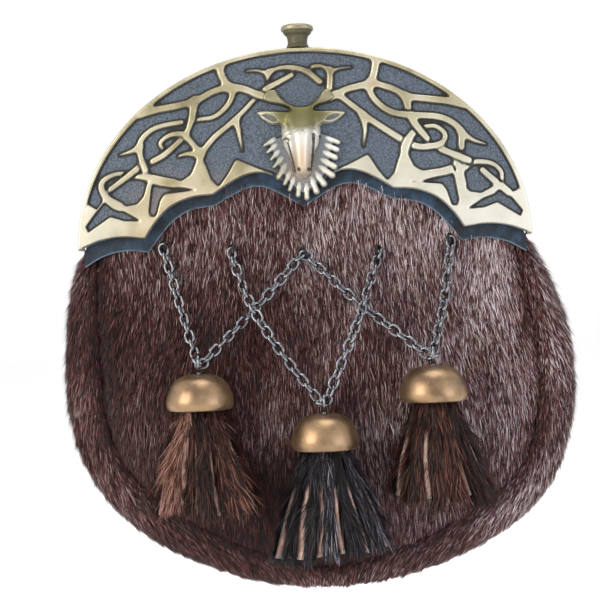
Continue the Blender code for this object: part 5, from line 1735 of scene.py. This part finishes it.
for tassel in TASSELS:
    body, skin = tassel_body(tassel)
    hair_slot = "black_hair" if tassel.hair == "black" else "chestnut_hair"
    dress(body, hair_slot, "tassel_" + tassel.name)
    grow_fur(
        "hair_" + tassel.name, skin, HAIRS[tassel.hair], hair_slot, tassel.seed, 5.0e6, 6.4 * MM, 0.30 * MM,
        0.13, 0.07, 0.36, 1.2,
    )
    grow_fur(
        "wisps_" + tassel.name, skin, HAIRS[tassel.hair], hair_slot, tassel.seed + 20, 1.6e6, 11.0 * MM,
        0.26 * MM, 0.24, 0.16, 0.5, 1.6,
    )
    bpy.data.objects.remove(skin, do_unlink=True)

# %% [markdown]
# The back is plain black leather: a panel with a mouth, a flap over it with its stud, and two belt loops, all
# with rounded edges and sewn with waxed thread.

# %% Back and belt loops
def bevelled(node, width):
    made = bpy.data.objects.new(node + "_form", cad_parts[node].data.copy())
    bpy.context.scene.collection.objects.link(made)
    form = bmesh.new()
    form.from_mesh(made.data)
    bmesh.ops.remove_doubles(form, verts=form.verts, dist=0.01 * MM)
    bmesh.ops.dissolve_limit(form, angle_limit=math.radians(1), verts=form.verts, edges=form.edges)
    form.to_mesh(made.data)
    form.free()
    edge = made.modifiers.new("edge", "BEVEL")
    edge.width = width
    edge.segments = 3
    edge.limit_method = "ANGLE"
    edge.angle_limit = math.radians(50)
    mesh = evaluated(made, node + "_edged")
    made = new_object(node + "_leather", mesh, leather)
    made.data.set_sharp_from_angle(angle=math.radians(40))
    return made


for node in ("back_panel", "back_flap", "belt_loop_left", "belt_loop_right"):
    dress(bevelled(node, 0.6 * MM), "back_leather", node)

# %% Stitching
thread, _, shader = finish("waxed_thread", Base_Color=linear("#8d8272"), Roughness=0.6)
STITCH_PITCH, THREAD_RADIUS = 3.2 * MM, 0.28 * MM
stitch_line = [(-1.2 * MM, 0, 0), (-0.9 * MM, 0, 0.35 * MM), (0.9 * MM, 0, 0.35 * MM), (1.2 * MM, 0, 0)]
stitch = from_arrays("stitch", *swept(stitch_line, THREAD_RADIUS, 6, False), thread)
FLAP_FACE = 2.3 * MM
_, flap_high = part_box("back_flap")
inset = 3 * MM
half, top, foot = flap_high.x - inset, flap_high.z - inset, 0.0
tongue = half * 0.5
arc = [(half * math.cos(a), foot - tongue * math.sin(a)) for a in np.linspace(0, math.pi, 30)]
flap_round = [(half, top)] + arc + [(-half, top)]
sewn = [
    [(x, FLAP_FACE, z) for x, z in flap_round],
    [(x, FLAP_FACE, top) for x in (-half, half)],
    [(x, FLAP_FACE, top - 3 * MM) for x in (-half + 4 * MM, half - 4 * MM)],
]
upper = [(84 * MM * math.cos(a), 71 * MM * math.sin(a)) for a in np.linspace(0.0, math.pi, 40)]
round_back = np.vstack([SEAM, upper[1:-1], SEAM[:1]])
middle = np.array([POUCH_LEAN, -30 * MM])
round_back = middle + (round_back - middle) * 0.975
sewn.append([(x, 0.0, z) for x, z in round_back])
for sign in (-1, 1):
    low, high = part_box("belt_loop_left" if sign < 0 else "belt_loop_right")
    for z in (low.z + 3 * MM, high.z - 3 * MM):
        sewn.append([(low.x + 2 * MM, FLAP_FACE, z), (high.x - 2 * MM, FLAP_FACE, z)])
stitches = []
for k, line in enumerate(sewn):
    lifted = polyline("seam", [(x, y, z) for x, y, z in line])
    sewn_row = grown(
        lifted, ROW, "stitches", piece=stitch, pitch=STITCH_PITCH, quarter=0.0, twist=math.pi,
        unevenness=0.06, seed=k, material=thread,
    )
    stitches.append(sewn_row)
form = bmesh.new()
for mesh in stitches:
    form.from_mesh(mesh)
mesh = bpy.data.meshes.new("stitching")
form.to_mesh(mesh)
form.free()
dress(new_object("stitching", mesh, thread), "back_leather")
bpy.data.objects.remove(stitch, do_unlink=True)

for helper in (BLADE, front_skin, band_skin):
    bpy.data.objects.remove(helper, do_unlink=True)
